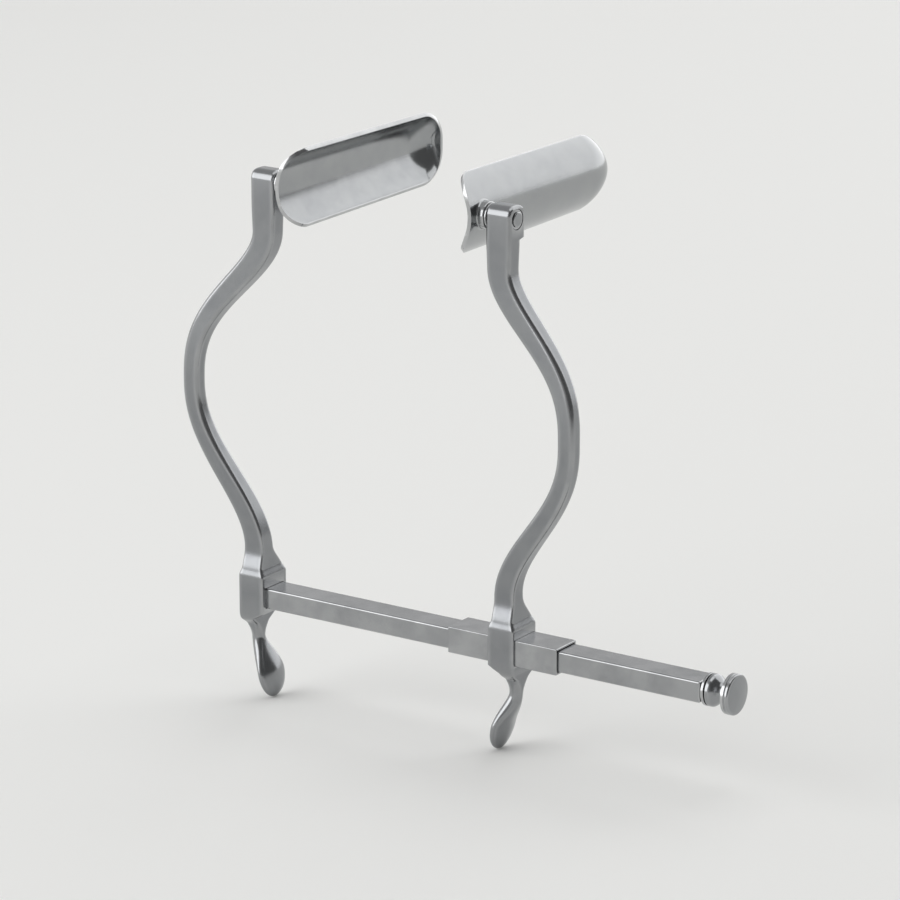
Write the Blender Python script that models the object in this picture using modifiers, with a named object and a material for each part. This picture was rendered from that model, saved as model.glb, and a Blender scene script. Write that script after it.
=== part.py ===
"""Self-retaining rectal retractor in polished steel.

A fixed arm and a sliding arm stand on a rectangular crossbar. Each arm is one forging: a finger
paddle, a hub block, a bowed shank and a hinge head. A trough blade swivels on a pin at each head.
X runs along the crossbar towards its knob, Y runs away from the hand towards the blade tips and
Z runs up the arms. The origin is the centre of the fixed hub's flat outer end, on the bar's axis.
Sizes are in metres.
"""
import math

import bmesh
import bpy
from mathutils import Matrix, Vector

# Spread and arms
ARM_SPREAD = 0.1050
HUB_WIDTH = 0.0104
HUB_DEPTH = 0.0146
HUB_RISE = 0.0074
HUB_DROP = 0.0056
HUB_CORNER = 0.0007
FOOT_DROP = 0.0025
FOOT_WIDTH = 0.0058
FOOT_DEPTH = 0.0138
FOOT_OUTSET = 0.0022
UNDERCUT_DROP = 0.0030
UNDERCUT_WIDTH = 0.0050
UNDERCUT_DEPTH = 0.0076
SHOULDER_RISE = 0.0036
FLARE_SHOULDER_RISE = 0.0026
FLARE_SHOULDER_DEPTH = 0.0130
FLARE_RISE = 0.0105
ROOT_WIDTH = 0.0084
ROOT_DEPTH = 0.0066
BOW_START = 0.0180
BOW_REACH = 0.0253
BOW_HEIGHT = 0.0755
BOW_WIDTH = 0.0066
BOW_DEPTH = 0.0056
BOW_CORNER = 0.0016
BOW_LOWER_BIAS = 1.15
BOW_UPPER_BIAS = 1.38
BOW_FORWARD = 0.0046
ROOT_FORWARD = 0.0020
SHANK_START = 0.1320
SHANK_WIDTH = 0.0092
SHANK_DEPTH = 0.0068
SHANK_CORNER = 0.0012

# Hinge heads
HEAD_TOP = 0.1537
HEAD_INSET = 0.0041
HEAD_WIDTH = 0.0097
HEAD_DEPTH = 0.0094
HEAD_CORNER = 0.0010
HEAD_CREST_RADIUS = 0.0034
HEAD_CREST_SOFTNESS = 0.0014
STEP_BELOW_PIN = 0.0066
STEP_FILLET = 0.0006
PIN_BELOW_TOP = 0.0047

# Finger paddles
NECK_HEIGHT = -0.0160
NECK_DIAMETER = 0.0047
NECK_OUTSET = 0.0020
PADDLE_HEIGHT = -0.0290
PADDLE_WIDTH = 0.0140
PADDLE_EDGE = 0.0016
PADDLE_CROWN = 0.0017
PADDLE_INSET = 0.0033
TIP_HEIGHT = -0.0375
TIP_INSET = 0.0046
TIP_FLAT = 0.22

# Crossbar, slide sleeve and end knob
BAR_LENGTH = 0.1878
BAR_DEPTH = 0.0105
BAR_HEIGHT = 0.0074
BAR_EDGE = 0.0005
SLEEVE_LENGTH = 0.0440
SLEEVE_WALL = 0.00080
SLEEVE_EDGE = 0.00025
SLIDE_CLEARANCE = 0.00015
SEAT_GAP = 0.00025
COLLAR_DIAMETER = 0.0113
COLLAR_THICKNESS = 0.0011
KNOB_BEAD_DIAMETER = 0.0112
KNOB_BEAD_LENGTH = 0.0050
KNOB_BEAD_BAND = 0.0012
KNOB_NECK_DIAMETER = 0.0068
KNOB_NECK_LENGTH = 0.0008
KNOB_HEAD_DIAMETER = 0.0140
KNOB_HEAD_RIM = 0.0027
KNOB_HEAD_BACK = 0.0013
KNOB_EDGE_ROUND = 0.0005
KNOB_GROOVE_WIDTH = 0.0007
KNOB_GROOVE_DEPTH = 0.0003
KNOB_FACE_DOME = 0.0006
STUD_DIAMETER = 0.0040
STUD_LENGTH = 0.0080

# Blades
BLADE_HEEL = 0.0080
BLADE_REACH = 0.0832
BLADE_HEEL_WIDTH = 0.0278
BLADE_TIP_WIDTH = 0.0264
BLADE_TROUGH = 0.0074
BLADE_WALL = 0.0014
BLADE_LIP_ROUND = 0.00035
HEEL_CORNER_RADIUS = 0.0082
TIP_LENGTH = 0.0130
TIP_CORNER_RADIUS = 0.0112
TIP_FULLNESS = 0.62

# Hinge lugs, pins and washers
LUG_DIAMETER = 0.0096
LUG_THICKNESS = 0.00225
LUG_EDGE = 0.0004
PIN_DIAMETER = 0.0032
PIN_HEAD_DIAMETER = 0.0052
PIN_HEAD_HEIGHT = 0.0005
PIN_CLEARANCE = 0.00015
WASHER_THICKNESS = 0.0006
SPRING_WASHER_DIAMETER = 0.0088
OUTER_WASHER_DIAMETER = 0.0068
WASHER_GAP = 0.00015
COUNTERBORE_DEPTH = 0.0009
COUNTERBORE_CLEARANCE = 0.00015

# Fineness of the faces
CORNER_STEPS = 3
BROAD_STEPS = 4
NARROW_STEPS = 2
TURN_STEPS = 28
BLADE_COLUMNS = 16

# Places worked out from the sizes above
FIXED_ARM_X = HUB_WIDTH / 2
SLIDING_ARM_X = FIXED_ARM_X + ARM_SPREAD
FOOT_Z = -HUB_DROP - FOOT_DROP
PIN_Z = HEAD_TOP - PIN_BELOW_TOP
PIN_Y = (HEAD_DEPTH - SHANK_DEPTH) / 2
STEP_Z = PIN_Z - STEP_BELOW_PIN
SLEEVE_DEPTH = BAR_DEPTH + 2 * (SLIDE_CLEARANCE + SLEEVE_WALL)
SLEEVE_HEIGHT = BAR_HEIGHT + 2 * (SLIDE_CLEARANCE + SLEEVE_WALL)
LUG_FACE = HEAD_WIDTH / 2 + WASHER_GAP + WASHER_THICKNESS + WASHER_GAP
BLADE_BACK = LUG_FACE + LUG_THICKNESS + SEAT_GAP
PIN_BORE_RADIUS = PIN_DIAMETER / 2 + PIN_CLEARANCE


def clear_scene():
    """Remove every object that the file holds."""
    for item in list(bpy.data.objects):
        bpy.data.objects.remove(item, do_unlink=True)


def new_collection(name):
    """Make a collection under the scene's own."""
    made = bpy.data.collections.new(name)
    bpy.context.scene.collection.children.link(made)
    return made


def steel(name, colour, roughness):
    """A metal with the given colour and roughness."""
    made = bpy.data.materials.new(name)
    made.use_nodes = True
    shader = made.node_tree.nodes["Principled BSDF"]
    shader.inputs["Base Color"].default_value = (*colour, 1.0)
    shader.inputs["Metallic"].default_value = 1.0
    shader.inputs["Roughness"].default_value = roughness
    return made


def add_object(name, mesh, collection, material=None):
    """Put a mesh in the scene as a named object."""
    made = bpy.data.objects.new(name, mesh)
    collection.objects.link(made)
    if material is not None:
        mesh.materials.append(material)
    return made


def finish_mesh(name, shape):
    """Turn a bmesh into a mesh whose faces point out and whose round faces are smooth."""
    bmesh.ops.recalc_face_normals(shape, faces=shape.faces)
    mesh = bpy.data.meshes.new(name)
    shape.to_mesh(mesh)
    shape.free()
    mesh.shade_smooth()
    mesh.set_sharp_from_angle(angle=math.radians(35))
    return mesh


def box_mesh(name, low, high):
    """A box between two corners."""
    shape = bmesh.new()
    size = [top - bottom for bottom, top in zip(low, high)]
    centre = [(top + bottom) / 2 for bottom, top in zip(low, high)]
    place = Matrix.Translation(centre) @ Matrix.Diagonal((*size, 1.0))
    bmesh.ops.create_cube(shape, size=1.0, matrix=place)
    return finish_mesh(name, shape)


def cylinder_along(name, axis, start, end, radius, steps=TURN_STEPS):
    """A cylinder about the local X or Y axis, from start to end along it."""
    turn = Matrix.Rotation(math.pi / 2, 4, "Y" if axis == "X" else "X")
    middle = Vector(((start + end) / 2, 0, 0)) if axis == "X" else Vector((0, (start + end) / 2, 0))
    shape = bmesh.new()
    bmesh.ops.create_cone(
        shape, cap_ends=True, segments=steps, radius1=radius, radius2=radius,
        depth=abs(end - start), matrix=Matrix.Translation(middle) @ turn)
    return finish_mesh(name, shape)


def cut(target, cutter, name):
    """Subtract one solid from another."""
    cutter.hide_render = True
    cutter.display_type = "WIRE"
    modifier = target.modifiers.new(name, "BOOLEAN")
    modifier.operation = "DIFFERENCE"
    modifier.solver = "EXACT"
    modifier.object = cutter


def round_edges(target, width, segments=2, angle=40):
    """Break the sharp edges of a piece."""
    modifier = target.modifiers.new("broken_edges", "BEVEL")
    modifier.width = width
    modifier.segments = segments
    modifier.limit_method = "ANGLE"
    modifier.angle_limit = math.radians(angle)


def turned(name, profile, collection, material, closed=False):
    """A piece turned about the X axis from (distance along X, radius) points, far end first."""
    mesh = bpy.data.meshes.new(name)
    points = [(radius, 0.0, -along) for along, radius in reversed(profile)]
    edges = [(index, index + 1) for index in range(len(points) - 1)]
    if closed:
        edges.append((len(points) - 1, 0))
    mesh.from_pydata(points, edges, [])
    made = add_object(name, mesh, collection, material)
    made.rotation_euler = (0, -math.pi / 2, 0)
    lathe = made.modifiers.new("lathe", "SCREW")
    lathe.axis = "Z"
    lathe.steps = TURN_STEPS
    lathe.render_steps = TURN_STEPS
    lathe.use_merge_vertices = True
    lathe.merge_threshold = 0.00001
    lathe.use_smooth_shade = True
    return made


def through(knots, at):
    """Value at a height on a smooth curve through (height, value) knots, with no overshoot."""
    if at <= knots[0][0]:
        return knots[0][1]
    if at >= knots[-1][0]:
        return knots[-1][1]
    slopes = [(b[1] - a[1]) / (b[0] - a[0]) for a, b in zip(knots, knots[1:])]
    tangents = [0.0]
    for before, after in zip(slopes, slopes[1:]):
        same_way = before * after > 0
        tangents.append(2 * before * after / (before + after) if same_way else 0.0)
    tangents.append(0.0)
    for index in range(len(slopes)):
        low, high = knots[index], knots[index + 1]
        if at <= high[0]:
            span = high[0] - low[0]
            t = (at - low[0]) / span
            return (low[1] * (1 + 2 * t) * (1 - t) ** 2 + high[1] * t * t * (3 - 2 * t)
                    + span * t * (1 - t) * (tangents[index] * (1 - t) - tangents[index + 1] * t))
    return knots[-1][1]


def ease(share, bias):
    """S-shaped rise from 0 to 1."""
    return (1 - math.cos(math.pi * min(max(share, 0.0), 1.0) ** bias)) / 2


def outset(height):
    """How far the arm's centre line lies outboard of the hub's centre at a height."""
    if height < BOW_START:
        return through([(TIP_HEIGHT, -TIP_INSET), (PADDLE_HEIGHT, -PADDLE_INSET),
                        (NECK_HEIGHT, NECK_OUTSET), (FOOT_Z, FOOT_OUTSET), (-HUB_DROP, 0.0)], height)
    if height < BOW_HEIGHT:
        return BOW_REACH * (1 - ease((BOW_HEIGHT - height) / (BOW_HEIGHT - BOW_START), BOW_LOWER_BIAS))
    share = (height - BOW_HEIGHT) / (SHANK_START - BOW_HEIGHT)
    return BOW_REACH - (BOW_REACH + HEAD_INSET) * ease(share, BOW_UPPER_BIAS)


def crest(full, radius, below_top):
    """Half size at a distance below a top that is rounded over with a radius."""
    if below_top >= radius:
        return full
    return full - radius + math.sqrt(max(radius ** 2 - (radius - below_top) ** 2, 0.0))


def paddle_half_width(height):
    """Half of the paddle's breadth at a height, rounded at the tip."""
    if height >= PADDLE_HEIGHT:
        return through([(PADDLE_HEIGHT, PADDLE_WIDTH / 2), (NECK_HEIGHT, NECK_DIAMETER / 2)], height)
    share = (PADDLE_HEIGHT - height) / (PADDLE_HEIGHT - TIP_HEIGHT)
    return PADDLE_WIDTH / 2 * math.sqrt(max(1 - share ** 2 * (1 - TIP_FLAT ** 2), 0.0))


def half_depth(height):
    """Half of the forging's size along Y at a height."""
    if height < NECK_HEIGHT:
        return paddle_half_width(height)
    if height < -HUB_DROP:
        return through([(NECK_HEIGHT, NECK_DIAMETER / 2), (FOOT_Z - UNDERCUT_DROP, UNDERCUT_DEPTH / 2),
                        (FOOT_Z, FOOT_DEPTH / 2), (-HUB_DROP, HUB_DEPTH / 2)], height)
    if height < STEP_Z:
        return through([(HUB_RISE, HUB_DEPTH / 2),
                        (HUB_RISE + FLARE_SHOULDER_RISE, FLARE_SHOULDER_DEPTH / 2),
                        (HUB_RISE + FLARE_RISE, ROOT_DEPTH / 2),
                        (BOW_HEIGHT, BOW_DEPTH / 2), (SHANK_START, SHANK_DEPTH / 2)], height)
    return crest(HEAD_DEPTH / 2, HEAD_CREST_RADIUS, HEAD_TOP - height)


def half_width(height):
    """Half of the forging's size across the arm, in the plane of the bow."""
    if height < PADDLE_HEIGHT:
        share = (PADDLE_HEIGHT - height) / (PADDLE_HEIGHT - TIP_HEIGHT)
        return PADDLE_EDGE / 2 * math.sqrt(max(1 - share ** 2 * (1 - TIP_FLAT ** 2), 0.0))
    if height < HEAD_TOP - HEAD_CREST_SOFTNESS:
        return through([(PADDLE_HEIGHT, PADDLE_EDGE / 2), (NECK_HEIGHT, NECK_DIAMETER / 2),
                        (FOOT_Z - UNDERCUT_DROP, UNDERCUT_WIDTH / 2), (FOOT_Z, FOOT_WIDTH / 2),
                        (-HUB_DROP, HUB_WIDTH / 2), (HUB_RISE, HUB_WIDTH / 2),
                        (HUB_RISE + SHOULDER_RISE, ROOT_WIDTH / 2), (BOW_HEIGHT, BOW_WIDTH / 2),
                        (SHANK_START, SHANK_WIDTH / 2), (STEP_Z, HEAD_WIDTH / 2)], height)
    return crest(HEAD_WIDTH / 2, HEAD_CREST_SOFTNESS, HEAD_TOP - height)


def corner_radius(height):
    """Rounding of the section's corners at a height."""
    return through([(NECK_HEIGHT, NECK_DIAMETER / 2), (FOOT_Z, HUB_CORNER), (HUB_RISE, HUB_CORNER),
                    (BOW_HEIGHT, BOW_CORNER), (SHANK_START, SHANK_CORNER), (STEP_Z, HEAD_CORNER)], height)


def broad_crown(height):
    """Swelling of the paddle's broad faces at a height."""
    if height < PADDLE_HEIGHT:
        return PADDLE_CROWN * half_width(height) / (PADDLE_EDGE / 2)
    return through([(PADDLE_HEIGHT, PADDLE_CROWN), (NECK_HEIGHT, 0.0)], height)


def depth_shift(height):
    """How far the section's centre lies behind the hub's: the bow leans forward, the head swells to the back."""
    if height >= STEP_Z:
        return (HEAD_DEPTH - SHANK_DEPTH) / 2
    return -through([(HUB_RISE, 0.0), (HUB_RISE + FLARE_RISE, ROOT_FORWARD), (BOW_HEIGHT, BOW_FORWARD),
                     (SHANK_START, 0.0)], height)


def section_ring(height, outward, hub_x):
    """Points of the forging's cross-section at a height, square to its centre line."""
    reach, tall = 0.0004, half_depth(height)
    wide = half_width(height)
    radius = min(corner_radius(height), wide, tall) * 0.999
    crown = broad_crown(height)
    slope = (outset(height + reach) - outset(height - reach)) / (2 * reach)
    if FOOT_Z <= height <= HUB_RISE or height >= SHANK_START:
        slope = 0.0
    across = Vector((outward, 0, -slope)).normalized()
    centre = Vector((hub_x + outward * outset(height), depth_shift(height), height))
    flat = []
    for quadrant in range(4):
        sign_u, sign_v = ((1, 1), (-1, 1), (-1, -1), (1, -1))[quadrant]
        for step in range(CORNER_STEPS + 1):
            angle = (quadrant + step / CORNER_STEPS) * math.pi / 2
            flat.append((sign_u * (wide - radius) + radius * math.cos(angle),
                         sign_v * (tall - radius) + radius * math.sin(angle)))
        steps = BROAD_STEPS if quadrant % 2 else NARROW_STEPS
        start, turn = flat[-1], -1 if quadrant in (0, 1) else 1
        for step in range(1, steps):
            share = 2 * step / steps
            if quadrant % 2:
                flat.append((start[0], start[1] + turn * share * (tall - radius)))
            else:
                flat.append((start[0] + turn * share * (wide - radius), start[1]))
    ring = []
    for u, v in flat:
        swell = crown * (1 - (v / tall) ** 2) * u / wide
        ring.append(centre + across * (u + swell) + Vector((0, v, 0)))
    return ring


def arm_heights():
    """Heights of the forging's cross-sections, closer together where its form changes fast."""
    heights = []
    tip_rows, paddle_rows, neck_rows = 4, 6, 5
    for row in range(tip_rows):
        share = math.cos(math.pi / 2 * row / tip_rows)
        heights.append(PADDLE_HEIGHT - share * (PADDLE_HEIGHT - TIP_HEIGHT))
    for row in range(paddle_rows):
        heights.append(PADDLE_HEIGHT + (NECK_HEIGHT - PADDLE_HEIGHT) * row / paddle_rows)
    for row in range(neck_rows):
        heights.append(NECK_HEIGHT + (FOOT_Z - NECK_HEIGHT) * row / neck_rows)
    heights += [FOOT_Z, -HUB_DROP, HUB_RISE]
    flare_rows, lower_rows, upper_rows = 5, 9, 12
    flare_top = HUB_RISE + FLARE_RISE
    for row in range(1, flare_rows):
        heights.append(HUB_RISE + FLARE_RISE * row / flare_rows)
    for row in range(lower_rows):
        heights.append(flare_top + (BOW_HEIGHT - flare_top) * row / lower_rows)
    for row in range(upper_rows):
        heights.append(BOW_HEIGHT + (SHANK_START - BOW_HEIGHT) * row / upper_rows)
    heights += [SHANK_START, STEP_Z - STEP_FILLET, STEP_Z]
    crest_rows = 5
    for row in range(crest_rows + 1):
        share = math.sin(math.pi / 2 * row / crest_rows)
        heights.append(HEAD_TOP - HEAD_CREST_RADIUS * (1 - share))
    return heights


def forging(name, hub_x, outward, collection, material):
    """The arm as a loft from the paddle's tip to the crest of the hinge head."""
    shape = bmesh.new()
    rings = []
    for height in arm_heights():
        rings.append([shape.verts.new(point) for point in section_ring(height, outward, hub_x)])
    count = len(rings[0])
    for lower, upper in zip(rings, rings[1:]):
        for index in range(count):
            after = (index + 1) % count
            shape.faces.new((lower[index], lower[after], upper[after], upper[index]))
    shape.faces.new(rings[0])
    shape.faces.new(rings[-1])
    return add_object(name, finish_mesh(name, shape), collection, material)


def bore_head(arm, name, hub_x, outward, cutters):
    """Drill the pin's hole through an arm's hinge head and sink the outer washer's seat."""
    head_x = hub_x - outward * HEAD_INSET
    mesh = cylinder_along(name, "X", -HEAD_WIDTH, HEAD_WIDTH, PIN_BORE_RADIUS)
    drill = add_object(name, mesh, cutters)
    drill.location = (head_x, PIN_Y, PIN_Z)
    cut(arm, drill, "pin_hole")
    mesh = cylinder_along(name + "_seat", "X", outward * (HEAD_WIDTH / 2 - COUNTERBORE_DEPTH),
                          outward * HEAD_WIDTH, OUTER_WASHER_DIAMETER / 2 + COUNTERBORE_CLEARANCE)
    seat = add_object(name + "_seat", mesh, cutters)
    seat.location = (head_x, PIN_Y, PIN_Z)
    cut(arm, seat, "washer_seat")


def broach_hub(arm, name, hub_x, depth, height, cutters):
    """Cut a rectangular way through an arm's hub along the bar."""
    half = (HUB_WIDTH, depth / 2 + SEAT_GAP, height / 2 + SEAT_GAP)
    low = (hub_x - half[0], -half[1], -half[2])
    high = (hub_x + half[0], half[1], half[2])
    broach = add_object(name, box_mesh(name, low, high), cutters)
    cut(arm, broach, "bar_way")


def make_crossbar(collection, cutters, material):
    """The rectangular bar, its butt flush with the fixed hub and its far end tapped for the stud."""
    low = (0.0, -BAR_DEPTH / 2, -BAR_HEIGHT / 2)
    high = (BAR_LENGTH, BAR_DEPTH / 2, BAR_HEIGHT / 2)
    bar = add_object("crossbar", box_mesh("crossbar", low, high), collection, material)
    round_edges(bar, BAR_EDGE)
    hole_start = BAR_LENGTH - STUD_LENGTH - SEAT_GAP
    mesh = cylinder_along("stud_hole", "X", hole_start, BAR_LENGTH + STUD_LENGTH,
                          STUD_DIAMETER / 2 + SEAT_GAP)
    cut(bar, add_object("stud_hole", mesh, cutters), "stud_hole")


def make_sleeve(collection, cutters, material):
    """The rectangular tube that slides on the bar and carries the sliding arm."""
    half = SLEEVE_LENGTH / 2
    low = (SLIDING_ARM_X - half, -SLEEVE_DEPTH / 2, -SLEEVE_HEIGHT / 2)
    high = (SLIDING_ARM_X + half, SLEEVE_DEPTH / 2, SLEEVE_HEIGHT / 2)
    sleeve = add_object("slide_sleeve", box_mesh("slide_sleeve", low, high), collection, material)
    round_edges(sleeve, SLEEVE_EDGE, segments=1)
    depth, height = BAR_DEPTH / 2 + SLIDE_CLEARANCE, BAR_HEIGHT / 2 + SLIDE_CLEARANCE
    low = (SLIDING_ARM_X - SLEEVE_LENGTH, -depth, -height)
    high = (SLIDING_ARM_X + SLEEVE_LENGTH, depth, height)
    cut(sleeve, add_object("sleeve_way", box_mesh("sleeve_way", low, high), cutters), "bar_way")


def make_knob(collection, material):
    """The stop collar on the bar's end and the turned knob that its stud holds there."""
    collar_start = SEAT_GAP
    collar_end = collar_start + COLLAR_THICKNESS
    inner = STUD_DIAMETER / 2 + SEAT_GAP
    outer = COLLAR_DIAMETER / 2
    collar = turned("stop_collar", [(collar_end, inner), (collar_end, outer), (collar_start, outer),
                                    (collar_start, inner)], collection, material, closed=True)
    collar.location = (BAR_LENGTH, 0, 0)
    round_edges(collar, COLLAR_THICKNESS / 5)
    bead_start = collar_end + SEAT_GAP
    bead_end = bead_start + KNOB_BEAD_LENGTH
    neck_end = bead_end + KNOB_NECK_LENGTH
    rim_start = neck_end + KNOB_HEAD_BACK
    rim_end = rim_start + KNOB_HEAD_RIM
    face = rim_end + KNOB_FACE_DOME
    bead, neck, head = KNOB_BEAD_DIAMETER / 2, KNOB_NECK_DIAMETER / 2, KNOB_HEAD_DIAMETER / 2
    stud = STUD_DIAMETER / 2
    face_radius = head - KNOB_EDGE_ROUND
    middle = (rim_start + rim_end) / 2
    groove = [(middle + KNOB_GROOVE_WIDTH / 2, head), (middle, head - KNOB_GROOVE_DEPTH),
              (middle - KNOB_GROOVE_WIDTH / 2, head)]
    profile, rows = [], 5
    for row in range(rows):
        share = row / rows
        profile.append((face - KNOB_FACE_DOME * share ** 2, face_radius * share))
    for row in range(rows - 1):
        angle = math.pi / 2 * row / (rows - 2)
        profile.append((rim_end - KNOB_EDGE_ROUND * (1 - math.cos(angle)),
                        face_radius + KNOB_EDGE_ROUND * math.sin(angle)))
    profile += groove + [(rim_start, head)]
    for row in range(1, rows + 1):
        share = row / rows
        profile.append((rim_start - KNOB_HEAD_BACK * share,
                        head - (head - neck) * math.sin(math.pi / 2 * share)))
    for row in range(rows + 1):
        share = row / rows
        profile.append((bead_end - (KNOB_BEAD_LENGTH - KNOB_BEAD_BAND) * share,
                        neck + (bead - neck) * ease(share, 1.0)))
    profile += [(bead_start + KNOB_EDGE_ROUND, bead), (bead_start, bead - KNOB_EDGE_ROUND), (bead_start, stud),
                (-STUD_LENGTH, stud), (-STUD_LENGTH, 0.0)]
    knob = turned("end_knob", profile, collection, material)
    knob.location = (BAR_LENGTH, 0, 0)


def trough_point(share, half, depth, full_half):
    """Place across the trough and depth below its rim, at a share from -1 to 1 of its arc."""
    bend = 2 * math.atan(depth / full_half)
    return (half * math.sin(share * bend) / math.sin(bend),
            (math.cos(share * bend) - math.cos(bend)) / (1 - math.cos(bend)))


def blade_rows():
    """Rows of the blade's back along its length: distance from the pin, arc share, half width, depth."""
    heel_half, tip_half = BLADE_HEEL_WIDTH / 2, BLADE_TIP_WIDTH / 2
    straight_start, straight_end = HEEL_CORNER_RADIUS - BLADE_HEEL, BLADE_REACH - TIP_LENGTH
    bend = 2 * math.atan(BLADE_TROUGH / heel_half)
    heel_steps, straight_steps, tip_steps = 5, 5, 8
    rows = []
    for step in range(heel_steps):
        angle = math.pi / 2 * step / heel_steps
        along = -BLADE_HEEL + HEEL_CORNER_RADIUS * (1 - math.cos(angle))
        edge = heel_half - HEEL_CORNER_RADIUS * (1 - math.sin(angle))
        rows.append((along, math.asin(edge / heel_half * math.sin(bend)) / bend, heel_half, 1.0))
    for step in range(straight_steps + 1):
        share = step / straight_steps
        along = straight_start + (straight_end - straight_start) * share
        rows.append((along, 1.0, heel_half + (tip_half - heel_half) * share, 1.0))
    for step in range(1, tip_steps + 1):
        angle = math.pi / 2 * step / tip_steps
        half = tip_half - TIP_CORNER_RADIUS * (1 - math.cos(angle))
        rows.append((straight_end + TIP_LENGTH * math.sin(angle), 1.0, half,
                     max(math.cos(angle), 0.0) ** TIP_FULLNESS))
    return rows


def make_blade(name, hub_x, inward, collection, material):
    """A trough blade: its back as one curved sheet, thickened towards the hollow side."""
    shape = bmesh.new()
    grid = []
    for along, arc_share, half, deep in blade_rows():
        row = []
        for column in range(BLADE_COLUMNS + 1):
            share = arc_share * (2 * column / BLADE_COLUMNS - 1)
            across, depth = trough_point(share, half, BLADE_TROUGH, BLADE_HEEL_WIDTH / 2)
            rim = BLADE_BACK + BLADE_TROUGH
            row.append(shape.verts.new((inward * (rim - BLADE_TROUGH * deep * depth), along, across)))
        grid.append(row)
    for low, high in zip(grid, grid[1:]):
        for column in range(BLADE_COLUMNS):
            corners = [low[column], low[column + 1], high[column + 1], high[column]]
            shape.faces.new(corners if inward > 0 else corners[::-1])
    mesh = bpy.data.meshes.new(name)
    shape.to_mesh(mesh)
    shape.free()
    mesh.shade_smooth()
    blade = add_object(name, mesh, collection, material)
    blade.location = pin_place(hub_x, inward)
    wall = blade.modifiers.new("wall", "SOLIDIFY")
    wall.thickness = BLADE_WALL
    wall.offset = -1.0
    wall.use_even_offset = True
    wall.use_rim = True
    round_edges(blade, BLADE_LIP_ROUND, segments=1, angle=50)


def pin_place(hub_x, inward):
    """Where the hinge axis crosses the middle of an arm's head."""
    return Vector((hub_x + inward * HEAD_INSET, PIN_Y, PIN_Z))


def make_lug(name, hub_x, inward, collection, cutters, material):
    """The round boss that is brazed to the blade's back and takes the pin."""
    rim = BLADE_BACK + BLADE_TROUGH
    mesh = cylinder_along(name, "X", inward * LUG_FACE, inward * rim, LUG_DIAMETER / 2)
    lug = add_object(name, mesh, collection, material)
    lug.location = pin_place(hub_x, inward)
    round_edges(lug, LUG_EDGE)
    half = BLADE_HEEL_WIDTH / 2
    bend_radius = (half ** 2 + BLADE_TROUGH ** 2) / (2 * BLADE_TROUGH)
    mesh = cylinder_along(name + "_saddle", "Y", -BLADE_REACH, BLADE_REACH, bend_radius + SEAT_GAP, 96)
    for vertex in mesh.vertices:
        vertex.co.x += inward * (BLADE_BACK + bend_radius)
    saddle = add_object(name + "_saddle", mesh, cutters)
    saddle.location = pin_place(hub_x, inward)
    cut(lug, saddle, "saddle")
    drill_mesh = cylinder_along(name + "_bore", "X", 0.0, inward * 2 * rim, PIN_BORE_RADIUS)
    drill = add_object(name + "_bore", drill_mesh, cutters)
    drill.location = pin_place(hub_x, inward)
    cut(lug, drill, "pin_bore")


def make_pin(name, hub_x, inward, collection, material):
    """The hinge pin, with a domed head outside the arm and its end in the lug."""
    head_base = HEAD_WIDTH / 2 - COUNTERBORE_DEPTH + WASHER_GAP + WASHER_THICKNESS + WASHER_GAP
    shank, head = PIN_DIAMETER / 2, PIN_HEAD_DIAMETER / 2
    crown = head_base + PIN_HEAD_HEIGHT
    profile = [(crown, 0.0), (crown - PIN_HEAD_HEIGHT * 0.15, head * 0.6),
               (crown - PIN_HEAD_HEIGHT * 0.5, head), (head_base, head), (head_base, shank),
               (SEAT_GAP - BLADE_BACK, shank), (SEAT_GAP - BLADE_BACK, 0.0)]
    pin = turned(name, profile, collection, material)
    pin.location = pin_place(hub_x, inward)
    if inward > 0:
        pin.rotation_euler = (0, math.pi / 2, 0)


def make_washer(name, hub_x, inward, from_middle, diameter, collection, material):
    """A flat ring on the pin, starting at a signed distance from the head's middle."""
    inner, outer = PIN_BORE_RADIUS, diameter / 2
    profile = [(WASHER_THICKNESS, inner), (WASHER_THICKNESS, outer), (0.0, outer), (0.0, inner)]
    ring = turned(name, profile, collection, material, closed=True)
    place = pin_place(hub_x, inward)
    start = min(inward * from_middle, inward * (from_middle + math.copysign(WASHER_THICKNESS, from_middle)))
    ring.location = (place.x + start, place.y, place.z)
    round_edges(ring, WASHER_THICKNESS / 5, segments=1)


def make_hinge(side, hub_x, inward, collection, cutters, finishes):
    """Everything on one hinge pin: blade, lug, pin, spring washer and outer washer."""
    seat = HEAD_WIDTH / 2 + WASHER_GAP
    make_blade(side + "_blade", hub_x, inward, collection, finishes["blade"])
    make_lug(side + "_hinge_lug", hub_x, inward, collection, cutters, finishes["blade"])
    make_pin(side + "_hinge_pin", hub_x, inward, collection, finishes["fitting"])
    make_washer(side + "_spring_washer", hub_x, inward, seat, SPRING_WASHER_DIAMETER,
                collection, finishes["fitting"])
    make_washer(side + "_outer_washer", hub_x, inward, COUNTERBORE_DEPTH - seat, OUTER_WASHER_DIAMETER,
                collection, finishes["fitting"])


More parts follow.
